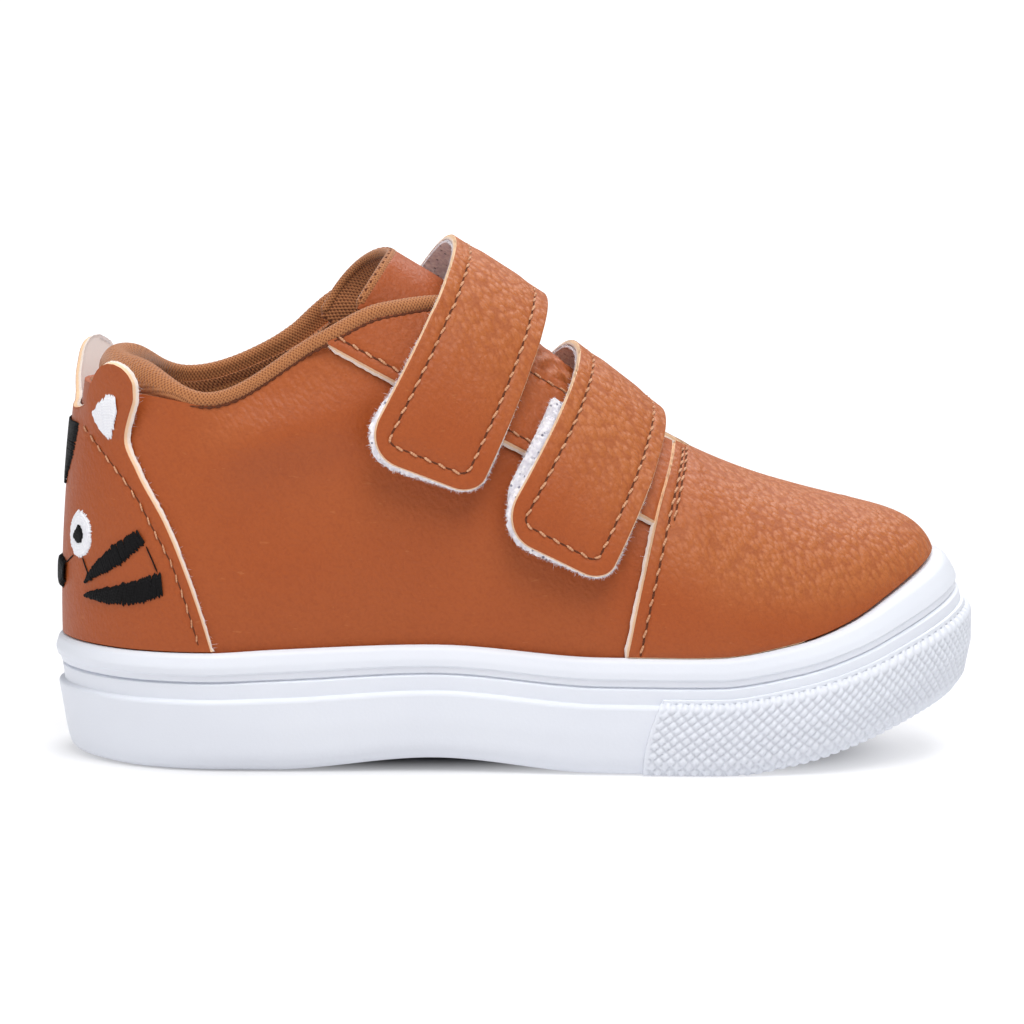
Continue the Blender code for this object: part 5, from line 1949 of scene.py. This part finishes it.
@dataclass
class Collar(Part):
    """The knit roll on the collar's edge, padded behind the heel and running down inside as a lining."""

    radius: float = 1.25
    front_radius: float = 1.5
    heel_radius: float = 3.0
    heel_rise: float = 0.6
    heel_inset: float = 3.0
    heel_sink: float = 1.0
    front: float = -15.5
    heel_zone: Pair = (-57.0, -74.0)
    front_zone: Pair = (-50.0, -22.0)
    facing_zone: Pair = (-42.0, -34.0)
    facing_stand: float = 1.3
    medial_swell: float = 0.6
    medial_place: Pair = (-32.0, 7.0)
    side_zone: Pair = (-10.0, 10.0)
    seam_stand: float = 1.5
    seam_drop: float = 0.5
    seam_zone: Pair = (-65.0, -56.0)
    rib_pitch: float = 0.95
    rib_depth: float = 0.05
    overhang: float = 0.5
    lift: Pair = (-0.4, 0.2)
    tail: Triple = (8.0, 15.0, 4.0)
    lining_depth: float = 2.1
    end_round: float = 1.2
    scallop: float = 1.5
    seam_width: Pair = (0.2, 0.1)
    seam_height: float = 0.16
    steps: int = 1000
    sides: int = 32

    def build(self) -> None:
        """A round profile carried along the edge, whose inner lower quarter hangs down to the lining."""
        last = self.last
        front = float(last.side_turn(self.front, 1.0))
        turn = np.linspace(-front, front, self.steps)
        edge, out = last.wall(turn, 1.0), last.normal(turn, 1.0)
        x, inner_side = edge[:, 0], ease(*self.side_zone, edge[:, 1])
        at_heel, at_front = ease(*self.heel_zone, x), ease(*self.front_zone, x)
        on_facing = ease(*self.facing_zone, x)
        radius = self.radius + (self.heel_radius - self.radius) * at_heel
        radius = radius + (self.front_radius - self.radius) * at_front
        swollen = self.medial_swell * inner_side * swell(x, *self.medial_place)
        tall = radius + self.heel_rise * at_heel + swollen
        inset = radius - self.overhang - self.facing_stand * on_facing + self.heel_inset * at_heel
        centre = edge - out * inset[:, None]
        low, high = self.lift
        centre[:, 2] += tall + low + (high - low) * inner_side - self.heel_sink * at_heel
        run = travelled(centre)
        angle = np.linspace(0, 2 * np.pi, self.sides + 1)[None]
        rib = self.rib_depth * np.cos(2 * np.pi * run / self.rib_pitch)[:, None] * np.cos(3 * angle)
        across, above = (radius[:, None] + rib) * np.cos(angle), (tall[:, None] + rib) * np.sin(angle)
        flank, heel, throat = self.tail
        tail = (flank + (heel - flank) * at_heel + (throat - flank) * at_front)[:, None]
        quarter = np.clip(2 * angle / np.pi - 2, 0, 1)
        down, back = np.minimum(quarter / 0.75, 1), np.maximum(4 * quarter - 3, 0)
        tip = (inset - self.lining_depth + radius)[:, None] * ease(0, 1, down) - radius[:, None]
        inside = (quarter > 0) & (quarter < 1)
        across = np.where(inside, tip * (1 - back), across)
        above = np.where(inside, -tail * down * (1 - back) - tall[:, None] * back, above)
        ends = np.sqrt(np.clip(to_ends(run) / self.end_round, 0, 1))[:, None]
        roll = tube(centre, out, across * ends, above * ends)
        made = roll.piece("collar_roll", self.finishes.tape, Slot.KNIT, "collar_binding", sharp=80.0)
        # A dark scalloped strand where the roll meets the leather: the seam's needle holes, and painted shade
        # under the roll's edge
        below = unit(last.wall(turn, 0.97) - edge) * (self.seam_drop * (1 - at_heel))[:, None]
        stand = 0.1 + self.seam_stand * on_facing - 0.8 * self.heel_inset * at_heel
        seam = edge + below + out * stand[:, None]
        mean, swing = self.seam_width
        wave = mean + swing * np.cos(2 * np.pi * travelled(seam) / self.scallop)
        thin = np.minimum(1, to_ends(run)) * ease(*self.seam_zone, x)
        high = self.seam_height * thin
        self.sewing.holes.append(strands(seam[None], out[None], (wave * thin)[None], high[None]))


@dataclass
class Tongue(Part):
    """The tongue: leather outside, padded knit inside, sewn along its free top."""

    thickness: float = 3.4
    leather_thickness: float = 1.0
    set_back_lateral: float = 1.8
    set_back_medial: float = 3.0
    set_back_power: float = 0.9
    set_back_start: float = 4.0
    corner_soft: float = 0.25
    tuck: float = 5.0
    roll_radius: float = 0.95
    roll_place: Pair = (0.15, 0.15)
    hole_pitch: float = 1.6
    fold_place: Triple = (8.0, -8.0, 7.0)
    fold_height: float = 0.42
    reach: float = 1.35
    tuck_zone: Pair = (12.0, -6.0)
    middle: Triple = (0.0, 0.0, 20.0)
    lining_gap: float = 0.05
    lining_thickness: float = 0.6
    rows: Packing = (110, 0.08, 9)
    columns: int = 71
    rim_steps: int = 320
    rim_sides: int = 17
    spine: Table = Table(("x", "ridge", "half", "radius"), (
        (-23.0, 87.0, 18.6, 12.6), (-8.0, 78.0, 18.8, 13.6), (7.0, 67.4, 17.6, 14.4),
        (26.0, 49.4, 13.5, 15.5), (33.0, 44.8, 11.0, 17.0),
    ))

    def face(self) -> Array:
        """The grid of the outer face: a ridge line carried across by an arch, its free corners set back.

        Returns:
            The points.
        """
        first, final = self.spine.rows[0][0], self.spine.rows[-1][0]
        x = first + (final - first) * from_edge(*self.rows)[:, None]
        across = np.linspace(-1, self.reach, self.columns)[None]
        tuck = self.tuck * np.maximum(across - 1, 0) / 0.35 * ease(*self.tuck_zone, x)
        across = np.minimum(across, 1.0)
        half, radius = self.spine.read("half", x), self.spine.read("radius", x)
        middle = np.clip(x, first + 0.5, final - 0.5)
        fall = np.arctan(self.spine.read("ridge", middle - 0.5) - self.spine.read("ridge", middle + 0.5))
        angle = half * across / radius
        drop = radius * (1 - np.cos(angle)) + tuck
        corner = np.where(across < 0, self.set_back_lateral, self.set_back_medial)
        bow = np.hypot(np.sin(angle), self.corner_soft) - self.corner_soft
        bow = bow / (np.hypot(1.0, self.corner_soft) - self.corner_soft)
        back = corner * bow**self.set_back_power * ease(self.set_back_start, first, x)
        return np.stack([
            x - np.sin(fall) * drop - np.cos(fall) * back,
            radius * np.sin(angle) + self.last.centre_y(x),
            self.spine.read("ridge", x) - np.cos(fall) * drop + np.sin(fall) * back,
        ], -1)

    def folds(self, face: Array) -> tuple[Array, Array]:
        """Short folds of the leather between the straps: two crossing waves inside a bell.

        Args:
            face: The outer face.

        Returns:
            The folds' heights, and the bell.
        """
        x, y = face[..., 0], face[..., 1]
        middle_x, middle_y, size = self.fold_place
        bell = swell(x, middle_x, size) * swell(y, middle_y, size)
        first = np.cos(2.7 * (0.8 * x + 0.6 * y) + 1.5 * np.sin(y / 1.7))
        second = np.cos(2.0 * (x - 0.9 * y) + 2.0 * np.sin(x / 2.3))
        return self.fold_height * bell * (first + 0.7 * second), bell

    def build(self) -> None:
        """The leather, the padded lining under it, and the knit roll over their free top edge."""
        face = self.face()
        normal = surface_normals(face, self.middle)
        base = face - normal * self.leather_thickness
        relief, bell = self.folds(face)
        # The folds get deeper pebbles, and with them the paler colour of the painted highlight
        leather = panel(base, normal, self.leather_thickness, ROLLED_EDGE, relief, grain=0.25 + 0.75 * bell)
        leather.piece("tongue_leather", self.finishes.leather, Slot.LEATHER, "tongue")
        inner = base - normal * self.lining_gap
        wide, down = travelled(face, axis=1), travelled(face)
        soft = ease(0.0, 5.0, np.minimum(wide, wide[:, -1:] - wide))
        puff = (self.thickness - self.leather_thickness - 0.7) * soft * ease(0.0, 6.0, down)
        knit = panel(inner, -normal, self.lining_thickness, FELT_EDGE, puff, chart=flattened(inner))
        made = knit.piece("tongue_lining", self.finishes.lining, Slot.KNIT)
        self.build_roll(base, normal)

    def build_roll(self, base: Array, normal: Array) -> None:
        """The knit roll over the free top edge, with dark dashes of painted shade for the small holes of the
        seam that holds it.

        Args:
            base: The grid between the leather and the lining.
            normal: Its normals.
        """
        run = travelled(base[0])
        fine = np.linspace(0, run[-1], self.rim_steps)
        past = unit(base[0] - base[1])
        out, on = self.roll_place
        rim = np.concatenate([base[0] + normal[0] * out + past * on, normal[0], past], -1)
        rim = along_path(fine, run, rim)
        path, up, past = rim[:, :3], unit(rim[:, 3:6]), unit(rim[:, 6:])
        angle = np.linspace(0, 2 * np.pi, self.rim_sides)[None]
        size = self.roll_radius * np.sqrt(np.minimum(1, to_ends(fine)))[:, None]
        roll = tube(path, up, size * np.cos(angle), size * np.sin(angle))
        roll.piece("tongue_roll", self.finishes.tape, Slot.KNIT, sharp=80.0)
        # Dark dashes on the roll: painted shade in the seam's needle holes
        count = int(run[-1] / self.hole_pitch)
        at = (np.arange(1, count)[:, None] + np.linspace(-0.22, 0.22, 5)) * self.hole_pitch
        lift = unit(0.8 * up + 0.6 * past)
        spot = np.concatenate([path + lift * (self.roll_radius + SEAT), lift], -1)
        spot = along_path(at, fine, spot)
        thin = np.array([0.0, 0.8, 1.0, 0.8, 0.0])
        self.sewing.holes.append(strands(spot[..., :3], spot[..., 3:], 0.2 * thin, 0.06 * thin))


@dataclass
class Strap(Part):
    """A hook-and-loop strap over the instep: leather, its felt backing, and the pad it closes on.

    The crest is where the strap crosses the spine. It falls to the front by one angle and its sides run
    back by another. The half width and height shape its arch, and it ends so far down on each side.
    """

    name: str
    crest_x: float
    crest_z: float
    fall: float
    run: float
    half: float
    height: float
    lateral: float
    medial: float
    spread: float
    pad_start: float
    pad_end: float
    pad_shows: float
    felt_shows: float
    width: float = 18.6
    thickness: float = 1.7
    felt_thickness: float = 0.6
    pad_thickness: float = 0.9
    stitched_standoff: float = 1.9
    stitched_drop: float = 1.4
    padded_standoff: float = 3.1
    rear_round: float = 5.8
    skew: float = 0.2
    front_round: float = 3.6
    square: float = 2.4
    hug: Pair = (5.0, 12.0)
    stitch_inset: float = 2.6
    stitch_bend: float = 1.4
    swell_height: float = 0.25
    swell_zone: Pair = (0.2, 3.5)
    grain: Pair = (0.18, 0.8)
    grain_and_highlight_slope: Pair = (0.12, 0.6)
    fringe_share: float = 0.36
    end_fibres: Pair = (0.05, 0.36)
    side_fibres: Pair = (0.25, 0.3)
    pad_fibres: Pair = (0.06, 0.4)
    nap_fibres: Pair = (0.2, 0.4)
    pad_seat: float = 0.1
    pad_rough: float = 0.12
    pad_spread: float = 0.5
    pad_seed: int = 5
    rows: int = 100
    columns: int = 22
    pad_rows: int = 60
    pad_columns: int = 20
    corner_rows: int = 16

    def under(self, across: Array, down: Array) -> Array:
        """The underside: a squared ellipse over the instep, giving way to the wall with a standoff.

        Args:
            across: The place over the strap's width.
            down: The distance from the crest, negative on the medial side.

        Returns:
            Points.
        """
        across, down = np.broadcast_arrays(across, down)
        rearward = np.clip(0.5 - across / self.width, 0, 1)
        across = across - self.spread * rearward * np.clip(down / self.lateral, 0, 1)
        fall, run = np.radians(self.fall), np.radians(self.run)
        deep = np.abs(down - self.skew * across * np.clip(down / self.lateral, 0, 1) ** 2)
        x = self.crest_x + across * np.cos(fall) - deep * np.sin(run)
        z = self.crest_z - across * np.sin(fall) - deep * np.cos(run)
        share = np.clip(1 - deep / self.height, 0, 1)
        arch = self.half * (1 - share**self.square) ** (1 / self.square)
        medial = down < 0
        laid = self.stitched_drop * ease(2.0, -4.0, z - Facing.lower_edge.read("z", x))
        stand = np.where(medial, self.stitched_standoff - laid, self.padded_standoff)
        body = self.last.side_y(x, z, medial, stand)
        out = arch + (np.logaddexp(arch, body) - arch) * ease(*self.hug, deep)
        return np.stack([x, np.where(medial, out, -out), z], -1)

    def normal(self, across: Array, down: Array) -> Array:
        """The underside's outward normals, from its two slopes.

        Args:
            across: Places over the strap's width.
            down: Distances from the crest, negative on the medial side.

        Returns:
            The normals.
        """
        small = 0.05
        over = self.under(across + small, down) - self.under(across - small, down)
        along = self.under(across, down + small) - self.under(across, down - small)
        return unit(np.cross(along, over))

    def outline_rows(self, end: float, start: float, rows: int) -> tuple[Array, Array, Array]:
        """Distances and half widths of a strip's rows, its last corners rounded by quarter circles.

        Args:
            end: Where the strip ends.
            start: Where it starts, negative on the medial side.
            rows: Rows before the corners.

        Returns:
            Each row's distance from the crest, and its half widths to the rear and to the front.
        """
        angle = np.linspace(0, np.pi / 2, self.corner_rows)[:, None]
        corner = end - self.rear_round * (1 - np.sin(angle))
        root = np.linspace(np.sign(start) * np.sqrt(abs(start)), np.sqrt(corner[0, 0]), rows)[:-1, None]
        down = np.concatenate([np.sign(root) * root**2, corner])
        halves = []
        for size in (self.rear_round, self.front_round):
            past = np.clip((down - end + size) / size, 0, 1)
            halves.append(self.width / 2 - size * (1 - np.sqrt(1 - past**2)))
        return down, halves[0], halves[1]

    def stitch_line(self) -> Array:
        """Places across and down of the row of stitches inside the strap's edge, all the way round.

        Returns:
            The places across, and those down.
        """
        inner, bend = self.width / 2 - self.stitch_inset, self.stitch_bend
        stop = self.lateral - self.stitch_inset
        straight = np.linspace(self.stitch_inset - self.medial, stop - bend, 90)
        angle = np.linspace(0, np.pi / 2, 12)[1:]
        corner = np.stack([inner - bend * (1 - np.cos(angle)), stop - bend + bend * np.sin(angle)], -1)
        side = np.concatenate([np.stack([np.full(90, inner), straight], -1), corner])
        path = np.concatenate([side, (side * (-1, 1))[::-1], side[:1]])
        return self.evenly(path, 360)

    @staticmethod
    def evenly(path: Array, count: int) -> Array:
        """The two columns of a flat path, at even distances along it."""
        run = travelled(path)
        return along_path(np.linspace(0, run[-1], count), run, path).T

    def build_strap(self) -> None:
        """The leather and the felt under it."""
        down, rear, ahead = self.outline_rows(self.lateral, -self.medial, self.rows)
        across = (rear + ahead) * both_edges(self.columns, 0.55, self.columns)[None] - rear
        low, normal = self.under(across, down), self.normal(across, down + 0 * across)
        base = low + normal * self.felt_thickness
        leather = self.thickness - self.felt_thickness
        stitch_across, stitch_down = self.stitch_line()
        up = self.normal(stitch_across, stitch_down)
        path = self.under(stitch_across, stitch_down) + up * (self.thickness - SEAT)
        self.sewing.sew(path, up)
        inside = np.minimum(np.minimum(across + rear, ahead - across), self.lateral - down)
        puff = self.swell_height * ease(*self.swell_zone, inside - self.stitch_inset)
        relief = self.sewing.groove(base + normal * leather, path) + puff
        # Deeper pebbles and a painted highlight where the strap faces up
        grain = grain_and_highlight_by_slope(normal, self.grain, self.grain_and_highlight_slope)
        top = panel(base, normal, leather, CLEAN_EDGE, relief, grain=grain)
        top.piece(f"strap_{self.name}_leather", self.finishes.leather, Slot.LEATHER, f"strap_{self.name}")
        few = slice(None, None, 3)
        spread = self.felt_spread(across, down)[:, few]
        felt = panel(low[:, few], normal[:, few], self.felt_thickness - SEAT, FELT_EDGE, 0.0, spread)
        felt.piece(f"strap_{self.name}_backing", self.finishes.felt, Slot.FLEECE)
        self.fringe(down, rear, ahead)

    def felt_spread(self, across: Array, down: Array) -> Array:
        """How far the felt comes out past the leather: most at the free end and its rear corner.

        Args:
            across: Places over the strap's width.
            down: Distances from the crest, negative on the medial side.

        Returns:
            A factor on how far the felt's edge goes.
        """
        free = ease(self.pad_start + 6, self.lateral - 4, down)
        rear = ease(0.35, -0.25, across / self.width)
        return 0.4 + self.felt_shows * free * (0.42 + 0.58 * rear)

    def fringe(self, down: Array, rear: Array, ahead: Array) -> None:
        """Fibres round the free end and along the edges that stand off the shoe.

        Args:
            down: Each row's distance from the crest.
            rear: Its half width to the rear.
            ahead: Its half width to the front.
        """
        path = np.concatenate([np.column_stack([-rear, down]), np.column_stack([ahead, down])[::-1]])
        across, along = self.evenly(path, 400)
        up = self.normal(across, along)
        edge = self.under(across, along) + up * self.felt_thickness * 0.5
        out = np.cross(unit(np.gradient(edge, axis=0)), up)
        inward = self.under(across * 0.9, along) - edge
        out = out * -np.sign(np.sum(out * inward))
        free = along > self.pad_start
        edge = edge + out * (self.fringe_share * self.felt_spread(across, along))[:, None]
        self.fuzz.grow(edge[free], out[free], up[free], *self.end_fibres)
        self.fuzz.grow(edge, out, up, *self.side_fibres)

    def build_pad(self) -> None:
        """The loop pad sewn to the quarter, showing past the strap's rear edge."""
        down, rear, ahead = self.outline_rows(self.pad_end, self.pad_start, self.pad_rows)
        across = (rear + ahead) * np.linspace(0, 1, 2 * self.pad_columns)[None] - rear
        across = across - self.pad_shows * ease(self.pad_start - 1.5, self.pad_start + 0.5, down)
        normal = self.normal(across, down + 0 * across)
        base = self.under(across, down) - normal * (GAP + self.pad_thickness)
        rough = self.pad_rough * np.random.default_rng(self.pad_seed).standard_normal(across.shape)
        thick = self.pad_thickness - self.pad_seat
        pad = panel(base, normal, thick, FELT_EDGE, rough, self.pad_spread)
        pad.piece(f"pad_{self.name}_loops", self.finishes.felt, Slot.FLEECE, f"pad_{self.name}")
        edge = base[:, 0] + normal[:, 0] * self.pad_thickness * 0.6
        self.fuzz.grow(edge, base[:, 0] - base[:, 1], normal[:, 0], *self.pad_fibres)
        top = base + normal * thick
        for column in range(0, self.pad_columns // 2, 3):
            line = top[:, column]
            self.fuzz.grow(line, normal[:, column], np.gradient(line, axis=0), *self.nap_fibres)

    def build(self) -> None:
        """Makes the strap and its pad."""
        self.build_strap()
        self.build_pad()


@dataclass
class Studio:
    """The pale floor, the soft lights and the camera at the photograph's angle."""

    aim: Triple = (-1.7, 0.0, 41.3)
    azimuth: float = -8.0
    elevation: float = 7.5
    roll: float = 1.0
    distance: float = 1100.0
    lens: float = 222.0
    floor_half: float = 12.0
    floor_drop: float = 0.1
    floor_colour: Colour = (0.44, 0.44, 0.455)
    floor_pale: Colour = (0.455, 0.455, 0.465)
    floor_glow: float = 0.95
    glow_colour: Colour = (0.99, 0.99, 1.0)
    glow_spine: Pair = (-0.05, 0.036)
    glow_near: Pair = (0.012, 0.034)
    glow_far: Pair = (0.15, 1.8)
    glow_shares: Pair = (0.58, 0.42)
    sky: float = 0.27
    light_aim: Triple = (0.0, 0.0, 0.04)
    lights: Table = Table(("x", "y", "z", "size", "power"), (
        (0.15, -0.75, 1.5, 1.1, 22.5),
        (0.45, 0.9, 1.25, 1.1, 14.5),
        (-1.0, -0.35, 0.7, 1.0, 3.6),
    ))

    def camera(self) -> None:
        """A long lens, aimed at the shoe's middle and rolled a little."""
        a, e, r = (np.radians(angle) for angle in (self.azimuth, self.elevation, self.roll))
        back = np.array([np.sin(a) * np.cos(e), -np.cos(a) * np.cos(e), np.sin(e)])
        right = np.array([np.cos(a), np.sin(a), 0.0])
        up = np.cross(back, right)
        across, above = np.cos(r) * right + np.sin(r) * up, np.cos(r) * up - np.sin(r) * right
        data = bpy.data.cameras.new("camera")
        data.lens = self.lens
        data.sensor_width = 36.0
        camera = linked("camera", data)
        place = (np.array(self.aim) + back * self.distance) * MM
        turned = Matrix(np.column_stack([across, above, back]).tolist()).to_4x4()
        camera.matrix_world = Matrix.Translation(Vector(place)) @ turned
        bpy.context.scene.camera = camera

    def floor(self) -> None:
        """A wide sheet just under the sole that glows white, brighter further away, and not round the sole's
        footprint, where the missing glow is a painted contact shadow.
        """
        half, z = self.floor_half, -self.floor_drop * MM
        mesh = bpy.data.meshes.new("floor")
        corners = [(-half, -half, z), (half, -half, z), (-half, half, z), (half, half, z)]
        mesh.from_pydata(corners, [], [(0, 1, 3, 2)])
        graph = Graph("floor")
        where = graph.place()
        x, y, _ = graph.split(where)
        # Painted contact shadow: no glow within a few centimetres of a line under the sole, rising further
        # out; the lamps' real shadows fall there as well
        rear, front = self.glow_spine
        past = x - x.math("MINIMUM", front).math("MAXIMUM", rear)
        away = (past * past + y * y).math("SQRT")
        near, far = self.glow_shares
        glow = away.step(*self.glow_near) * near + away.step(*self.glow_far) * far
        mesh.materials.append(graph.done(
            Base_Color=graph.mix(graph.noise(where, 3.0), self.floor_colour, self.floor_pale),
            Roughness=0.9, Specular_IOR_Level=0.1, Emission_Strength=self.floor_glow,
            Emission_Color=graph.mix(glow, (0.0, 0.0, 0.0), self.glow_colour),
        ))
        floor = linked("floor", mesh)

    def light(self) -> None:
        """White surroundings and soft square lights aimed at the shoe."""
        world = bpy.data.worlds.new("studio")
        world.use_nodes = True
        background = world.node_tree.nodes["Background"]
        background.inputs["Color"].default_value = (1.0, 1.0, 1.0, 1.0)
        background.inputs["Strength"].default_value = self.sky
        bpy.context.scene.world = world
        bpy.context.scene.view_settings.view_transform = "Standard"
        for number, (x, y, z, size, power) in enumerate(self.lights.rows):
            data = bpy.data.lights.new(f"softbox_{number}", "AREA")
            data.size = size
            data.energy = power
            lamp = linked(f"softbox_{number}", data)
            lamp.location = (x, y, z)
            aim = Vector(self.light_aim) - lamp.location
            lamp.rotation_euler = aim.to_track_quat("-Z", "Y").to_euler()

    def build(self) -> None:
        """Sets the studio up."""
        self.camera()
        self.floor()
        self.light()


def main() -> None:
    """Builds the studio, then the shoe's pieces in order."""
    logging.basicConfig(level=logging.INFO, format="%(name)s %(relativeCreated)d ms %(message)s")
    last, finishes = Last(), Finishes.make()
    sewing, fuzz, fringe = Sewing(finishes), Fuzz(finishes, "edge_fibres"), Fuzz(finishes, "strap_fibres")
    Studio().build()
    kit = (last, finishes, sewing, fuzz)
    for part in (Sole, Insole, Upper, Vamp):
        part(*kit).build()
    for side in Side:
        Facing(*kit, side).build()
    for part in (HeelPanel, Collar, Tongue):
        part(*kit).build()
    Strap(
        last, finishes, sewing, fringe, "upper", crest_x=-5.6, crest_z=83.2, fall=32.0, run=25.0, half=26.4,
        height=46.0, lateral=35.4, medial=27.0, spread=2.2, pad_start=16.0, pad_end=33.5, pad_shows=-0.6,
        felt_shows=2.25,
    ).build()
    Strap(
        last, finishes, sewing, fringe, "lower", crest_x=15.6, crest_z=64.2, fall=37.0, run=27.0, half=28.0,
        height=38.0, lateral=30.3, medial=22.0, spread=1.8, pad_start=8.0, pad_end=28.0, pad_shows=1.9,
        felt_shows=2.05,
    ).build()
    sewing.build()
    fuzz.build()
    fringe.build()


if __name__ == "__main__":
    main()
